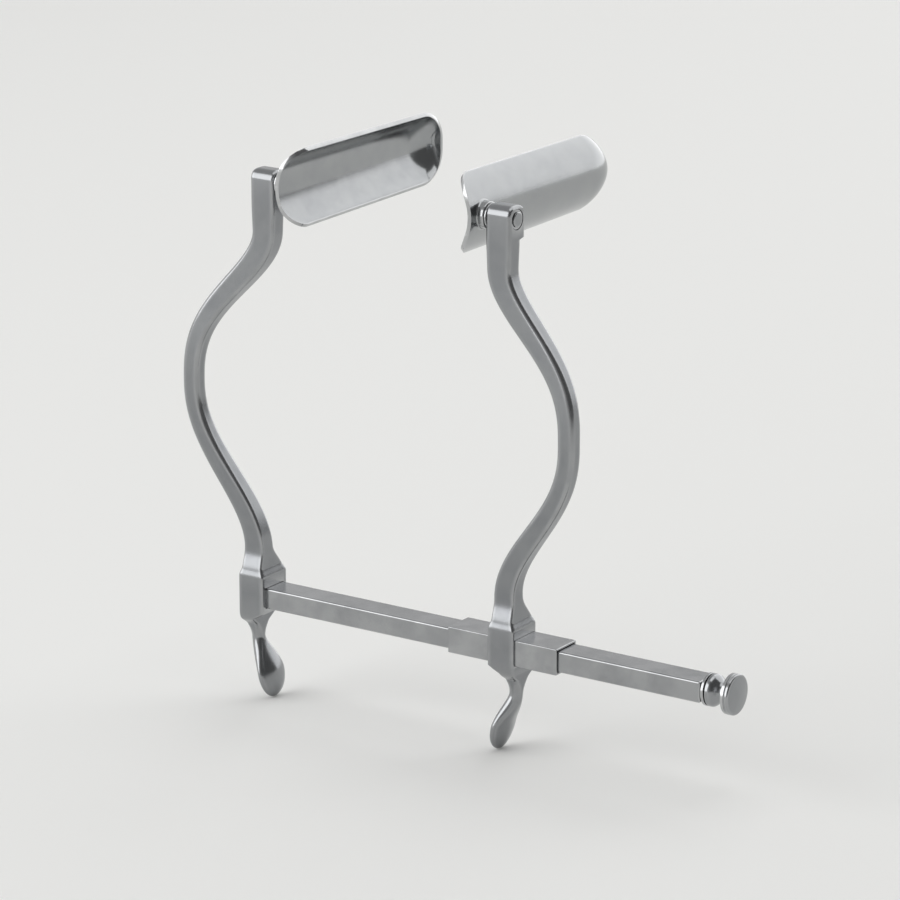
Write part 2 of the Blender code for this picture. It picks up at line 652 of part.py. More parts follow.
def main():
    """Build the retractor."""
    clear_scene()
    collection = new_collection("rectal_retractor")
    cutters = new_collection("cutters")
    finishes = {
        "forging": steel("forged_steel", (0.72, 0.73, 0.74), 0.26),
        "bar": steel("ground_steel", (0.70, 0.71, 0.72), 0.22),
        "blade": steel("mirror_steel", (0.78, 0.79, 0.80), 0.14),
        "fitting": steel("turned_steel", (0.74, 0.75, 0.76), 0.18),
    }
    fixed = forging("fixed_arm", FIXED_ARM_X, -1, collection, finishes["forging"])
    broach_hub(fixed, "fixed_bar_way", FIXED_ARM_X, BAR_DEPTH, BAR_HEIGHT, cutters)
    bore_head(fixed, "fixed_pin_hole", FIXED_ARM_X, -1, cutters)
    sliding = forging("sliding_arm", SLIDING_ARM_X, 1, collection, finishes["forging"])
    broach_hub(sliding, "sliding_bar_way", SLIDING_ARM_X, SLEEVE_DEPTH, SLEEVE_HEIGHT, cutters)
    bore_head(sliding, "sliding_pin_hole", SLIDING_ARM_X, 1, cutters)
    make_crossbar(collection, cutters, finishes["bar"])
    make_sleeve(collection, cutters, finishes["bar"])
    make_knob(collection, finishes["fitting"])
    make_hinge("left", FIXED_ARM_X, 1, collection, cutters, finishes)
    make_hinge("right", SLIDING_ARM_X, -1, collection, cutters, finishes)


main()
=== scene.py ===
"""Rectal retractor in polished surgical steel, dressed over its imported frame.

Every size is in metres and in the frame of the CAD model: X runs along the crossbar towards its
knob, Y towards the tips of the blades and Z up the arms.
"""
import logging
import math
from dataclasses import dataclass
from enum import Enum

import bmesh
import bpy
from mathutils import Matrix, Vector


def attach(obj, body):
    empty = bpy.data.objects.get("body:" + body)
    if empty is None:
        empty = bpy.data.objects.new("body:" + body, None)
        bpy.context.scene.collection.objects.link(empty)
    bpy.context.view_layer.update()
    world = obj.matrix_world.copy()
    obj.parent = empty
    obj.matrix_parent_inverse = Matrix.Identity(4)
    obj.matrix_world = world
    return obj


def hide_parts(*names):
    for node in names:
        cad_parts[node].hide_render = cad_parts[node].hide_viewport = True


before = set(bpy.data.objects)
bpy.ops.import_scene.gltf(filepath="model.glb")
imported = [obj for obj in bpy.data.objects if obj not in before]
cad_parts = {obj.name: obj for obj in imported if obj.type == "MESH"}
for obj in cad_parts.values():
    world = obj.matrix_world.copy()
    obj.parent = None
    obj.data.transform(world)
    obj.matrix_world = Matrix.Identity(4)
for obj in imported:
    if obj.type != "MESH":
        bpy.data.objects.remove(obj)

log = logging.getLogger("retractor")

FIXED_HUB_X, SLIDING_HUB_X = 0.0052, 0.1102
SHARP_TURN = 32.0  # Degrees between neighbouring faces past which an edge counts as sharp
WEAR_ROUNDS = 3  # Rounds in which wear spreads from each point to its neighbours


class Side(Enum):
    """Which arm a piece belongs to, with the way from that arm's head to the other blade."""

    LEFT = 1
    RIGHT = -1


class Lay(Enum):
    """Way that the fine marks of a finish run."""

    ALONG_BAR = (0.03, 1.0, 1.0)
    ALONG_ARM = (1.0, 1.0, 0.05)
    ALONG_BLADE = (1.0, 0.05, 1.0)
    ROUND_AXIS = (1.0, 0.12, 0.12)


class Body(Enum):
    """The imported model's moving bodies."""

    FRAME = "frame"
    SLIDER = "slider"
    LEFT_SWIVEL = "left_swivel"
    RIGHT_SWIVEL = "right_swivel"


def linear(code: str) -> tuple[float, float, float, float]:
    """Turn an sRGB hex colour into a linear one.

    Args:
        code: Six hex digits, such as "c8cacb".

    Returns:
        Linear red, green, blue and an alpha of 1.
    """
    shares = [int(code[start:start + 2], 16) / 255 for start in (0, 2, 4)]
    made = [share / 12.92 if share <= 0.04045 else ((share + 0.055) / 1.055) ** 2.4
            for share in shares]
    return (made[0], made[1], made[2], 1.0)


def add_node(tree: bpy.types.NodeTree, kind: str, inputs: dict | None = None,
             **settings: object) -> bpy.types.Node:
    """Add a node to a tree.

    Args:
        tree: The node tree.
        kind: The node's type name.
        inputs: Values and output sockets for its inputs, by name or number.
        settings: Attributes of the node.

    Returns:
        The new node.
    """
    node = tree.nodes.new(kind)
    for name, value in settings.items():
        setattr(node, name, value)
    for key, value in (inputs or {}).items():
        socket = node.inputs[key]
        if isinstance(value, bpy.types.NodeSocket):
            tree.links.new(value, socket)
        else:
            socket.default_value = value
    return node


def add_noise(tree: bpy.types.NodeTree, place: bpy.types.NodeSocket, spacing: float, detail: float,
              roughness: float) -> bpy.types.NodeSocket:
    """Add a noise texture to a tree.

    Args:
        tree: The node tree.
        place: Socket for the place at which the noise is taken.
        spacing: Distance between its waves.
        detail: How many finer waves lie on them.
        roughness: Strength of each finer wave beside the one before.

    Returns:
        The socket of its value.
    """
    return add_node(tree, "ShaderNodeTexNoise", {
        "Vector": place, "Scale": 1 / spacing, "Detail": detail, "Roughness": roughness}).outputs[0]


def add_ramp(tree: bpy.types.NodeTree, value: bpy.types.NodeSocket, span: tuple[float, float],
             made: tuple[float, float]) -> bpy.types.NodeSocket:
    """Add a ramp to a tree, level past both of its ends.

    Args:
        tree: The node tree.
        value: Socket for what goes in.
        span: The values at which the ramp starts and ends.
        made: What it gives at its start and end.

    Returns:
        The socket of the result.
    """
    return add_node(tree, "ShaderNodeMapRange", {
        "Value": value, "From Min": span[0], "From Max": span[1], "To Min": made[0],
        "To Max": made[1]}).outputs[0]


@dataclass(frozen=True)
class Steel:
    """Polished martensitic stainless steel, the usual metal of such instruments.

    Wheel polishing leaves broad soft waves and a fine lay of scratches; edges are brighter where
    the wheel and later handling have rubbed them, and random cloudy patches keep a duller, slightly
    darker skin.
    Real polishing lines lie a few hundredths of a millimetre apart, and are drawn coarser so that
    they show.
    """

    name: str
    colour: str
    dull_colour: str
    worn_colour: str
    roughness: float
    roughness_spread: float
    lay: Lay
    scratch_spacing: float
    scratch_depth: float
    wave_spacing: float
    wave_depth: float
    cloud_spacing: float = 0.009
    scratch_span: tuple[float, float] = (0.25, 0.75)
    dull_span: tuple[float, float] = (0.38, 0.70)
    worn_span: tuple[float, float] = (0.30, 0.62)
    least_worn: float = 0.35

    def build(self) -> bpy.types.Material:
        """Make the material.

        Returns:
            The finished material.
        """
        made = bpy.data.materials.new(self.name)
        made.use_nodes = True
        tree = made.node_tree
        tree.nodes.clear()
        place = add_node(tree, "ShaderNodeTexCoord").outputs["Object"]
        laid = add_node(tree, "ShaderNodeMapping", {
            "Vector": place, "Scale": self.lay.value}).outputs[0]
        scratches = add_noise(tree, laid, self.scratch_spacing, 4.0, 0.65)
        clouds = add_noise(tree, place, self.cloud_spacing, 5.0, 0.6)
        waves = add_noise(tree, place, self.wave_spacing, 1.5, 0.45)
        worn = add_node(tree, "ShaderNodeAttribute", attribute_name="worn",
                        attribute_type="GEOMETRY")
        broken = add_ramp(tree, clouds, self.worn_span, (self.least_worn, 1.0))
        edge = add_node(tree, "ShaderNodeMath", {0: worn.outputs["Fac"], 1: broken},
                        operation="MULTIPLY")
        skin = add_ramp(tree, clouds, self.dull_span, (0.0, 1.0))
        tone = add_node(tree, "ShaderNodeMix", {
            0: skin, 6: linear(self.colour), 7: linear(self.dull_colour)}, data_type="RGBA")
        colour = add_node(tree, "ShaderNodeMix", {
            0: edge.outputs[0], 6: tone.outputs[2], 7: linear(self.worn_colour)}, data_type="RGBA")
        rough = add_ramp(tree, scratches, self.scratch_span, (
            self.roughness - self.roughness_spread, self.roughness + self.roughness_spread))
        softer = add_node(tree, "ShaderNodeMath", {0: skin, 1: self.roughness_spread, 2: rough},
                          operation="MULTIPLY_ADD")
        grain = add_node(tree, "ShaderNodeBump", {
            "Height": scratches, "Strength": 1.0, "Distance": self.scratch_depth})
        relief = add_node(tree, "ShaderNodeBump", {
            "Height": waves, "Strength": 1.0, "Distance": self.wave_depth,
            "Normal": grain.outputs[0]})
        shader = add_node(tree, "ShaderNodeBsdfPrincipled", {
            "Base Color": colour.outputs[2], "Metallic": 1.0, "Roughness": softer.outputs[0],
            "Normal": relief.outputs[0]})
        add_node(tree, "ShaderNodeOutputMaterial", {"Surface": shader.outputs[0]})
        return made


# Hand-polished forging: a soft satin sheen along the arm, with slow waves that bend the highlights
FORGED_STEEL = Steel(
    "polished_forged_stainless_steel", colour="8f9193", dull_colour="86888b", worn_colour="babbbc",
    roughness=0.20, roughness_spread=0.04, lay=Lay.ALONG_ARM, scratch_spacing=0.00040,
    scratch_depth=0.000006, wave_spacing=0.016, wave_depth=0.00010)
# Surface-ground bar: a straight, slightly duller gleam with fine lines along the bar
GROUND_STEEL = Steel(
    "ground_stainless_steel_bar", colour="8e9092", dull_colour="86888b", worn_colour="b8b9ba",
    roughness=0.20, roughness_spread=0.03, lay=Lay.ALONG_BAR, scratch_spacing=0.00035,
    scratch_depth=0.000006, wave_spacing=0.030, wave_depth=0.00001)
# Buffed sheet: the clearest gleam of all, with dark and light running the length of the trough
MIRROR_STEEL = Steel(
    "mirror_polished_stainless_steel", colour="a2a4a5", dull_colour="9b9d9f", worn_colour="c0c1c2",
    roughness=0.15, roughness_spread=0.02, lay=Lay.ALONG_BLADE, scratch_spacing=0.00045,
    scratch_depth=0.000002, wave_spacing=0.020, wave_depth=0.00005)
# Lathe-turned pieces: bright rings round the axis from the tool's feed
TURNED_STEEL = Steel(
    "turned_stainless_steel", colour="989a9c", dull_colour="909294", worn_colour="c0c1c2",
    roughness=0.18, roughness_spread=0.03, lay=Lay.ROUND_AXIS, scratch_spacing=0.00030,
    scratch_depth=0.000004, wave_spacing=0.010, wave_depth=0.00001)


def through(knots: list[tuple[float, float]], at: float) -> float:
    """Value on a smooth curve through knots, with no overshoot.

    Args:
        knots: (place, value) pairs in rising order of place.
        at: The place asked for.

    Returns:
        The value there.
    """
    if at <= knots[0][0]:
        return knots[0][1]
    if at >= knots[-1][0]:
        return knots[-1][1]
    slopes = [(b[1] - a[1]) / (b[0] - a[0]) for a, b in zip(knots, knots[1:])]
    tangents = [0.0]
    for before, after in zip(slopes, slopes[1:]):
        tangents.append(2 * before * after / (before + after) if before * after > 0 else 0.0)
    tangents.append(0.0)
    for index in range(len(slopes)):
        low, high = knots[index], knots[index + 1]
        if at <= high[0]:
            span = high[0] - low[0]
            t = (at - low[0]) / span
            return (low[1] * (1 + 2 * t) * (1 - t) ** 2 + high[1] * t * t * (3 - 2 * t)
                    + span * t * (1 - t) * (tangents[index] * (1 - t) - tangents[index + 1] * t))
    return knots[-1][1]


def spaced(low: float, high: float, rows: int) -> list[float]:
    """Evenly spaced values from a low one up to, and without, a high one.

    Args:
        low: The first value.
        high: The end of the span.
        rows: How many values there are.

    Returns:
        The values in rising order.
    """
    return [low + (high - low) * row / rows for row in range(rows)]


def ease(share: float, bias: float) -> float:
    """S-shaped rise from 0 to 1, later for a higher bias.

    Args:
        share: Place along the rise, from 0 to 1.
        bias: Power that shifts the rise.

    Returns:
        Height of the rise there.
    """
    return (1 - math.cos(math.pi * min(max(share, 0.0), 1.0) ** bias)) / 2


def crest(full: float, radius: float, below_top: float) -> float:
    """Half size at a distance below a top that is rounded over with a radius.

    Args:
        full: Half size below the rounding.
        radius: Radius of the rounding.
        below_top: Distance below the top.

    Returns:
        Half size there.
    """
    if below_top >= radius:
        return full
    return full - radius + math.sqrt(max(radius ** 2 - (radius - below_top) ** 2, 0.0))


def add_object(name: str, data: bpy.types.ID) -> bpy.types.Object:
    """Add an object to the scene.

    Args:
        name: The object's name.
        data: Its mesh, camera or lamp.

    Returns:
        The new object.
    """
    made = bpy.data.objects.new(name, data)
    bpy.context.scene.collection.objects.link(made)
    return made


def plain_mesh(piece: bpy.types.Object) -> bpy.types.Object:
    """Turn a piece with modifiers into one with a plain mesh.

    Args:
        piece: The object, whose modifiers are taken off.

    Returns:
        The same object.
    """
    bpy.context.view_layer.update()
    graph = bpy.context.evaluated_depsgraph_get()
    mesh = bpy.data.meshes.new_from_object(piece.evaluated_get(graph))
    piece.modifiers.clear()
    old = piece.data
    piece.data = mesh
    mesh.name = piece.name
    bpy.data.meshes.remove(old)
    return piece


def start_tree(name: str, inputs: dict[str, str]) -> tuple[bpy.types.NodeTree, dict]:
    """Start a geometry nodes tree that puts out a mesh.

    Args:
        name: The tree's name.
        inputs: Kind of socket by the name of each input.

    Returns:
        The tree, and the sockets of its inputs by name.
    """
    tree = bpy.data.node_groups.new(name, "GeometryNodeTree")
    tree.interface.new_socket("Mesh", in_out="OUTPUT", socket_type="NodeSocketGeometry")
    for label, kind in inputs.items():
        tree.interface.new_socket(label, in_out="INPUT", socket_type=f"NodeSocket{kind}")
    given = add_node(tree, "NodeGroupInput").outputs
    return tree, {label: given[label] for label in inputs}


def add_rule(tree: bpy.types.NodeTree, rule: tuple[tuple, ...], found: dict) -> None:
    """Add a rule's math nodes to a tree.

    Args:
        tree: The node tree.
        rule: Rows of a result's name, an operation and its values, numbers or names found before.
        found: Sockets by name, which gains the results.
    """
    for name, operation, *values in rule:
        inputs = {number: found.get(value, value) for number, value in enumerate(values)}
        found[name] = add_node(tree, "ShaderNodeMath", inputs, operation=operation).outputs[0]


def end_tree(tree: bpy.types.NodeTree, grid: bpy.types.Node, spot: list[bpy.types.NodeSocket],
             origin: bpy.types.NodeSocket, steel: bpy.types.NodeSocket, weld: float = 0.0) -> None:
    """End a tree: move a grid's points to their spots, give the mesh its steel and put it out.

    Args:
        tree: The node tree.
        grid: The node that makes the grid.
        spot: Sockets for X, Y and Z of a point, from the origin.
        origin: Socket for the origin's place.
        steel: Socket for the material.
        weld: Distance within which points are joined, or 0 where none are.
    """
    offset = add_node(tree, "ShaderNodeCombineXYZ", dict(enumerate(spot)))
    place = add_node(tree, "ShaderNodeVectorMath", {0: offset.outputs[0], 1: origin},
                     operation="ADD")
    made = add_node(tree, "GeometryNodeSetPosition", {
        "Geometry": grid.outputs["Mesh"], "Position": place.outputs[0]})
    if weld:
        made = add_node(tree, "GeometryNodeMergeByDistance", {
            "Geometry": made.outputs[0], "Distance": weld})
    made = add_node(tree, "GeometryNodeRealizeInstances", {0: made.outputs[0]})
    made = add_node(tree, "GeometryNodeSetMaterial", {
        "Geometry": made.outputs[0], "Material": steel})
    add_node(tree, "NodeGroupOutput", {0: made.outputs[0]})


def set_inputs(modifier: bpy.types.NodesModifier, values: dict) -> None:
    """Give a geometry nodes modifier its inputs.

    Args:
        modifier: The modifier, whose tree is set.
        values: Values by the name of the tree's input.
    """
    for socket in modifier.node_group.interface.items_tree:
        if socket.in_out == "INPUT" and socket.name in values:
            modifier[socket.identifier] = values[socket.name]


def face_outwards(mesh: bpy.types.Mesh) -> None:
    """Turn the faces of a closed mesh outwards.

    Args:
        mesh: The mesh.
    """
    shape = bmesh.new()
    shape.from_mesh(mesh)
    bmesh.ops.recalc_face_normals(shape, faces=shape.faces)
    shape.to_mesh(mesh)
    shape.free()


def shade_round(mesh: bpy.types.Mesh, sharp_angle: float) -> None:
    """Shade round faces smooth and keep the sharp edges.

    Args:
        mesh: The mesh.
        sharp_angle: Turn in degrees past which an edge is shaded sharp.
    """
    mesh.shade_smooth()
    mesh.set_sharp_from_angle(angle=math.radians(sharp_angle))


def mark_wear(mesh: bpy.types.Mesh, reach: float, full_angle: float) -> None:
    """Store how much each point is worn, from how sharply the surface turns outwards near it.

    Args:
        mesh: The mesh that gets a point attribute named "worn".
        reach: How far wear spreads from an edge.
        full_angle: Turn in degrees between neighbouring faces that counts as a full edge.
    """
    shape = bmesh.new()
    shape.from_mesh(mesh)
    shape.normal_update()
    wear = [0.0] * len(shape.verts)
    for edge in shape.edges:
        if len(edge.link_faces) == 2:
            turn = edge.calc_face_angle_signed(0.0)
            amount = min(max(math.degrees(turn) / full_angle, 0.0), 1.0)
            for vertex in edge.verts:
                wear[vertex.index] = max(wear[vertex.index], amount)
    for _ in range(WEAR_ROUNDS):
        spread = list(wear)
        for edge in shape.edges:
            fade = max(1 - edge.calc_length() / reach, 0.0)
            a, b = edge.verts[0].index, edge.verts[1].index
            spread[a] = max(spread[a], wear[b] * fade)
            spread[b] = max(spread[b], wear[a] * fade)
        wear = spread
    shape.free()
    attribute = mesh.attributes.new("worn", "FLOAT", "POINT")
    attribute.data.foreach_set("value", wear)


def settle(piece: bpy.types.Object, finish: bpy.types.Material, body: Body, node: str,
           reach: float = 0.0006, full_angle: float = 25.0) -> bpy.types.Object:
    """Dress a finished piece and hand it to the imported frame.

    Args:
        piece: The object, with a plain mesh.
        finish: Its material.
        body: The body that it rides on.
        node: The CAD node that it stands for.
        reach: How far wear spreads from its edges.
        full_angle: Turn in degrees that counts as a full edge.

    Returns:
        The same object.
    """
    piece.data.materials.clear()
    piece.data.materials.append(finish)
    mark_wear(piece.data, reach, full_angle)
    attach(piece, body.value)
    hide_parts(node)
    log.info("%s: %d faces on %s", piece.name, len(piece.data.polygons), body.value)
    return piece


def add_piece(name: str, shape: bmesh.types.BMesh,
              sharp_angle: float = SHARP_TURN) -> bpy.types.Object:
    """Make an object from a bmesh, with round faces shaded smooth.

    Args:
        name: The object's name.
        shape: The bmesh, which is freed.
        sharp_angle: Turn in degrees past which an edge is shaded sharp.

    Returns:
        The new object.
    """
    bmesh.ops.recalc_face_normals(shape, faces=shape.faces)
    mesh = bpy.data.meshes.new(name)
    shape.to_mesh(mesh)
    shape.free()
    shade_round(mesh, sharp_angle)
    return add_object(name, mesh)


def block(low: tuple[float, float, float], high: tuple[float, float, float]) -> bmesh.types.BMesh:
    """A box between two corners.

    Args:
        low: Corner with the lowest X, Y and Z.
        high: Corner with the highest X, Y and Z.

    Returns:
        The box as a bmesh.
    """
    shape = bmesh.new()
    points = [shape.verts.new((x, y, z)) for x in (low[0], high[0]) for y in (low[1], high[1])
              for z in (low[2], high[2])]
    for corners in ((0, 1, 3, 2), (4, 6, 7, 5), (0, 4, 5, 1), (2, 3, 7, 6), (0, 2, 6, 4),
                    (1, 5, 7, 3)):
        shape.faces.new([points[corner] for corner in corners])
    return shape


def loft(rings: list[list[Vector]], ring_shaped: bool = False) -> bmesh.types.BMesh:
    """A solid skinned over rings of points.

    Args:
        rings: Rings with the same count of points, in order.
        ring_shaped: Whether the last ring meets the first, with no caps.

    Returns:
        The solid as a bmesh.
    """
    shape = bmesh.new()
    made = [[shape.verts.new(point) for point in ring] for ring in rings]
    for low, high in zip(made, made[1:] + made[:1] if ring_shaped else made[1:]):
        for step in range(len(low)):
            after = (step + 1) % len(low)
            shape.faces.new((low[step], low[after], high[after], high[step]))
    if not ring_shaped:
        shape.faces.new(made[0])
        shape.faces.new(made[-1])
    return shape


def cut_away(piece: bpy.types.Object, shapes: list[bmesh.types.BMesh]) -> None:
    """Subtract solids from a piece and leave it as a plain mesh.

    Args:
        piece: The object that is cut.
        shapes: The solids, which are freed.
    """
    cutters = []
    for number, shape in enumerate(shapes):
        cutter = add_piece(f"{piece.name}_way_{number}", shape)
        modifier = piece.modifiers.new(cutter.name, "BOOLEAN")
        modifier.operation, modifier.solver, modifier.object = "DIFFERENCE", "EXACT", cutter
        cutters.append(cutter)
    plain_mesh(piece)
    for cutter in cutters:
        mesh = cutter.data
        bpy.data.objects.remove(cutter)
        bpy.data.meshes.remove(mesh)


def break_edges(piece: bpy.types.Object, width: float, segments: int = 2,
                angle: float = SHARP_TURN) -> None:
    """Round the sharp edges of a piece and leave it as a plain mesh.

    Args:
        piece: The object.
        width: Width of the rounding.
        segments: Faces across the rounding.
        angle: Turn in degrees past which an edge is rounded.
    """
    modifier = piece.modifiers.new("broken_edges", "BEVEL")
    modifier.width, modifier.segments = width, segments
    modifier.limit_method, modifier.angle_limit = "ANGLE", math.radians(angle)
    modifier.harden_normals = True
    plain_mesh(piece)


def rod(start: float, end: float, radius: float, centre: tuple[float, float],
        steps: int = 64) -> bmesh.types.BMesh:
    """A cylinder about an axis along X.

    Args:
        start: X of one end.
        end: X of the other end.
        radius: Its radius.
        centre: Y and Z of its axis.
        steps: Faces round it.

    Returns:
        The cylinder as a bmesh.
    """
    turns = [2 * math.pi * step / steps for step in range(steps)]
    circle = [(centre[0] + radius * math.cos(turn), centre[1] + radius * math.sin(turn))
              for turn in turns]
    return loft([[Vector((x, y, z)) for y, z in circle] for x in (start, end)])


@dataclass
class ArmForging:
    """One arm: finger paddle, hub block, bowed shank and hinge head in a single forging."""

    side: Side
    hub_x: float
    hub_width: float = 0.0104
    hub_depth: float = 0.0146
    hub_rise: float = 0.0074
    hub_drop: float = 0.0056
    hub_corner: float = 0.0007
    foot_drop: float = 0.0025
    foot_width: float = 0.0058
    foot_depth: float = 0.0138
    foot_outset: float = 0.0022
    undercut_drop: float = 0.0030
    undercut_width: float = 0.0050
    undercut_depth: float = 0.0076
    shoulder_rise: float = 0.0036
    flare_shoulder_rise: float = 0.0026
    flare_shoulder_depth: float = 0.0130
    flare_rise: float = 0.0105
    root_width: float = 0.0084
    root_depth: float = 0.0066
    bow_start: float = 0.0180
    bow_reach: float = 0.0253
    bow_height: float = 0.0755
    bow_width: float = 0.0066
    bow_depth: float = 0.0056
    bow_corner: float = 0.0016
    bow_lower_bias: float = 1.15
    bow_upper_bias: float = 1.38
    bow_forward: float = 0.0046
    root_forward: float = 0.0020
    shank_start: float = 0.1320
    shank_width: float = 0.0092
    shank_depth: float = 0.0068
    shank_corner: float = 0.0012
    head_top: float = 0.1537
    head_inset: float = 0.0041
    head_width: float = 0.0097
    head_depth: float = 0.0094
    head_corner: float = 0.0010
    head_crest_radius: float = 0.0034
    head_crest_softness: float = 0.0014
    step_below_pin: float = 0.0066
    step_fillet: float = 0.0006
    pin_below_top: float = 0.0047
    neck_height: float = -0.0160
    neck_diameter: float = 0.0047
    neck_outset: float = 0.0020
    paddle_height: float = -0.0290
    paddle_width: float = 0.0140
    paddle_edge: float = 0.0016
    paddle_crown: float = 0.0017
    paddle_inset: float = 0.0033
    tip_height: float = -0.0375
    tip_inset: float = 0.0046
    tip_flat: float = 0.22
    pin_bore_radius: float = 0.00175
    washer_seat_radius: float = 0.00355
    washer_seat_depth: float = 0.0009
    edge_break: float = 0.00022
    way_depth: float = 0.01075
    way_height: float = 0.00765
    corner_fullness: float = 0.999
    corner_steps: int = 6
    broad_steps: int = 14
    narrow_steps: int = 8
    slope_reach: float = 0.0004
    tip_rows: int = 14
    paddle_rows: int = 26
    neck_rows: int = 22
    hub_rows: int = 2
    flare_rows: int = 24
    lower_bow_rows: int = 44
    upper_bow_rows: int = 52
    shank_rows: int = 8
    crest_rows: int = 16

    def pin_place(self) -> tuple[float, float, float]:
        """Where the hinge axis crosses the middle of the head.

        Returns:
            The place in world coordinates.
        """
        return (self.hub_x + self.side.value * self.head_inset,
                (self.head_depth - self.shank_depth) / 2, self.head_top - self.pin_below_top)

    def foot_z(self) -> float:
        """Height of the hub's lowest edge."""
        return -self.hub_drop - self.foot_drop

    def step_z(self) -> float:
        """Height where the head swells to the back."""
        return self.head_top - self.pin_below_top - self.step_below_pin

    def outset(self, height: float) -> float:
        """How far the centre line lies outboard of the hub's centre at a height.

        Args:
            height: Height above the bar's axis.

        Returns:
            The distance.
        """
        if height < self.bow_start:
            return through([(self.tip_height, -self.tip_inset),
                            (self.paddle_height, -self.paddle_inset),
                            (self.neck_height, self.neck_outset),
                            (self.foot_z(), self.foot_outset), (-self.hub_drop, 0.0)], height)
        if height < self.bow_height:
            share = (self.bow_height - height) / (self.bow_height - self.bow_start)
            return self.bow_reach * (1 - ease(share, self.bow_lower_bias))
        share = (height - self.bow_height) / (self.shank_start - self.bow_height)
        inwards = ease(share, self.bow_upper_bias)
        return self.bow_reach - (self.bow_reach + self.head_inset) * inwards

    def tip_share(self, height: float) -> float:
        """Share of the paddle's full size at a height below its widest place.

        Args:
            height: Height above the bar's axis.

        Returns:
            The share, from 0 to 1.
        """
        share = (self.paddle_height - height) / (self.paddle_height - self.tip_height)
        return math.sqrt(max(1 - share ** 2 * (1 - self.tip_flat ** 2), 0.0))

    def half_depth(self, height: float) -> float:
        """Half of the forging's size along Y at a height.

        Args:
            height: Height above the bar's axis.

        Returns:
            The half size.
        """
        if height < self.paddle_height:
            return self.paddle_width / 2 * self.tip_share(height)
        if height < self.neck_height:
            return through([(self.paddle_height, self.paddle_width / 2),
                            (self.neck_height, self.neck_diameter / 2)], height)
        if height < -self.hub_drop:
            return through([(self.neck_height, self.neck_diameter / 2),
                            (self.foot_z() - self.undercut_drop, self.undercut_depth / 2),
                            (self.foot_z(), self.foot_depth / 2),
                            (-self.hub_drop, self.hub_depth / 2)], height)
        if height < self.step_z():
            shoulder = self.hub_rise + self.flare_shoulder_rise
            return through([(self.hub_rise, self.hub_depth / 2),
                            (shoulder, self.flare_shoulder_depth / 2),
                            (self.hub_rise + self.flare_rise, self.root_depth / 2),
                            (self.bow_height, self.bow_depth / 2),
                            (self.shank_start, self.shank_depth / 2)], height)
        return crest(self.head_depth / 2, self.head_crest_radius, self.head_top - height)

    def half_width(self, height: float) -> float:
        """Half of the forging's size in the plane of the bow at a height.

        Args:
            height: Height above the bar's axis.

        Returns:
            The half size.
        """
        if height < self.paddle_height:
            return self.paddle_edge / 2 * self.tip_share(height)
        if height < self.head_top - self.head_crest_softness:
            return through([(self.paddle_height, self.paddle_edge / 2),
                            (self.neck_height, self.neck_diameter / 2),
                            (self.foot_z() - self.undercut_drop, self.undercut_width / 2),
                            (self.foot_z(), self.foot_width / 2),
                            (-self.hub_drop, self.hub_width / 2),
                            (self.hub_rise, self.hub_width / 2),
                            (self.hub_rise + self.shoulder_rise, self.root_width / 2),
                            (self.bow_height, self.bow_width / 2),
                            (self.shank_start, self.shank_width / 2),
                            (self.step_z(), self.head_width / 2)], height)
        return crest(self.head_width / 2, self.head_crest_softness, self.head_top - height)

    def depth_shift(self, height: float) -> float:
        """How far the section's centre lies behind the hub's.

        The bow leans forward, and the head swells to the back.

        Args:
            height: Height above the bar's axis.

        Returns:
            The distance along Y.
        """
        if height >= self.step_z():
            return (self.head_depth - self.shank_depth) / 2
        return -through([(self.hub_rise, 0.0), (self.hub_rise + self.flare_rise, self.root_forward),
                         (self.bow_height, self.bow_forward), (self.shank_start, 0.0)], height)

    def corner_radius(self, height: float) -> float:
        """Rounding of the section's corners at a height.

        Args:
            height: Height above the bar's axis.

        Returns:
            The radius.
        """
        return through([(self.neck_height, self.neck_diameter / 2),
                        (self.foot_z(), self.hub_corner), (self.hub_rise, self.hub_corner),
                        (self.bow_height, self.bow_corner), (self.shank_start, self.shank_corner),
                        (self.step_z(), self.head_corner)], height)

    def broad_crown(self, height: float) -> float:
        """Swelling of the paddle's broad faces at a height.

        Args:
            height: Height above the bar's axis.

        Returns:
            The swelling of each face.
        """
        if height < self.paddle_height:
            return self.paddle_crown * self.tip_share(height)
        return through([(self.paddle_height, self.paddle_crown), (self.neck_height, 0.0)], height)

    def ring(self, height: float) -> list[Vector]:
        """Points of the cross-section at a height, square to the centre line.

        Args:
            height: Height above the bar's axis.

        Returns:
            The ring of points, always of the same count.
        """
        outward, reach = -self.side.value, self.slope_reach
        wide, tall = self.half_width(height), self.half_depth(height)
        # Just short of full, so that no flat between two corners shrinks to nothing
        radius = min(self.corner_radius(height), wide, tall) * self.corner_fullness
        crown = self.broad_crown(height)
        slope = (self.outset(height + reach) - self.outset(height - reach)) / (2 * reach)
        if self.foot_z() <= height <= self.hub_rise or height >= self.shank_start:
            slope = 0.0
        across = Vector((outward, 0, -slope)).normalized()
        centre = Vector((self.hub_x + outward * self.outset(height), self.depth_shift(height),
                         height))
        flat: list[tuple[float, float]] = []
        for quadrant, (sign_u, sign_v) in enumerate(((1, 1), (-1, 1), (-1, -1), (1, -1))):
            for step in range(self.corner_steps + 1):
                angle = (quadrant + step / self.corner_steps) * math.pi / 2
                flat.append((sign_u * (wide - radius) + radius * math.cos(angle),
                             sign_v * (tall - radius) + radius * math.sin(angle)))
            steps = self.broad_steps if quadrant % 2 else self.narrow_steps
            start, turn = flat[-1], -1 if quadrant in (0, 1) else 1
            for step in range(1, steps):
                move = turn * 2 * step / steps
                flat.append((start[0], start[1] + move * (tall - radius)) if quadrant % 2
                            else (start[0] + move * (wide - radius), start[1]))
        return [centre + across * (u + crown * (1 - (v / tall) ** 2) * u / wide) + Vector((0, v, 0))
                for u, v in flat]

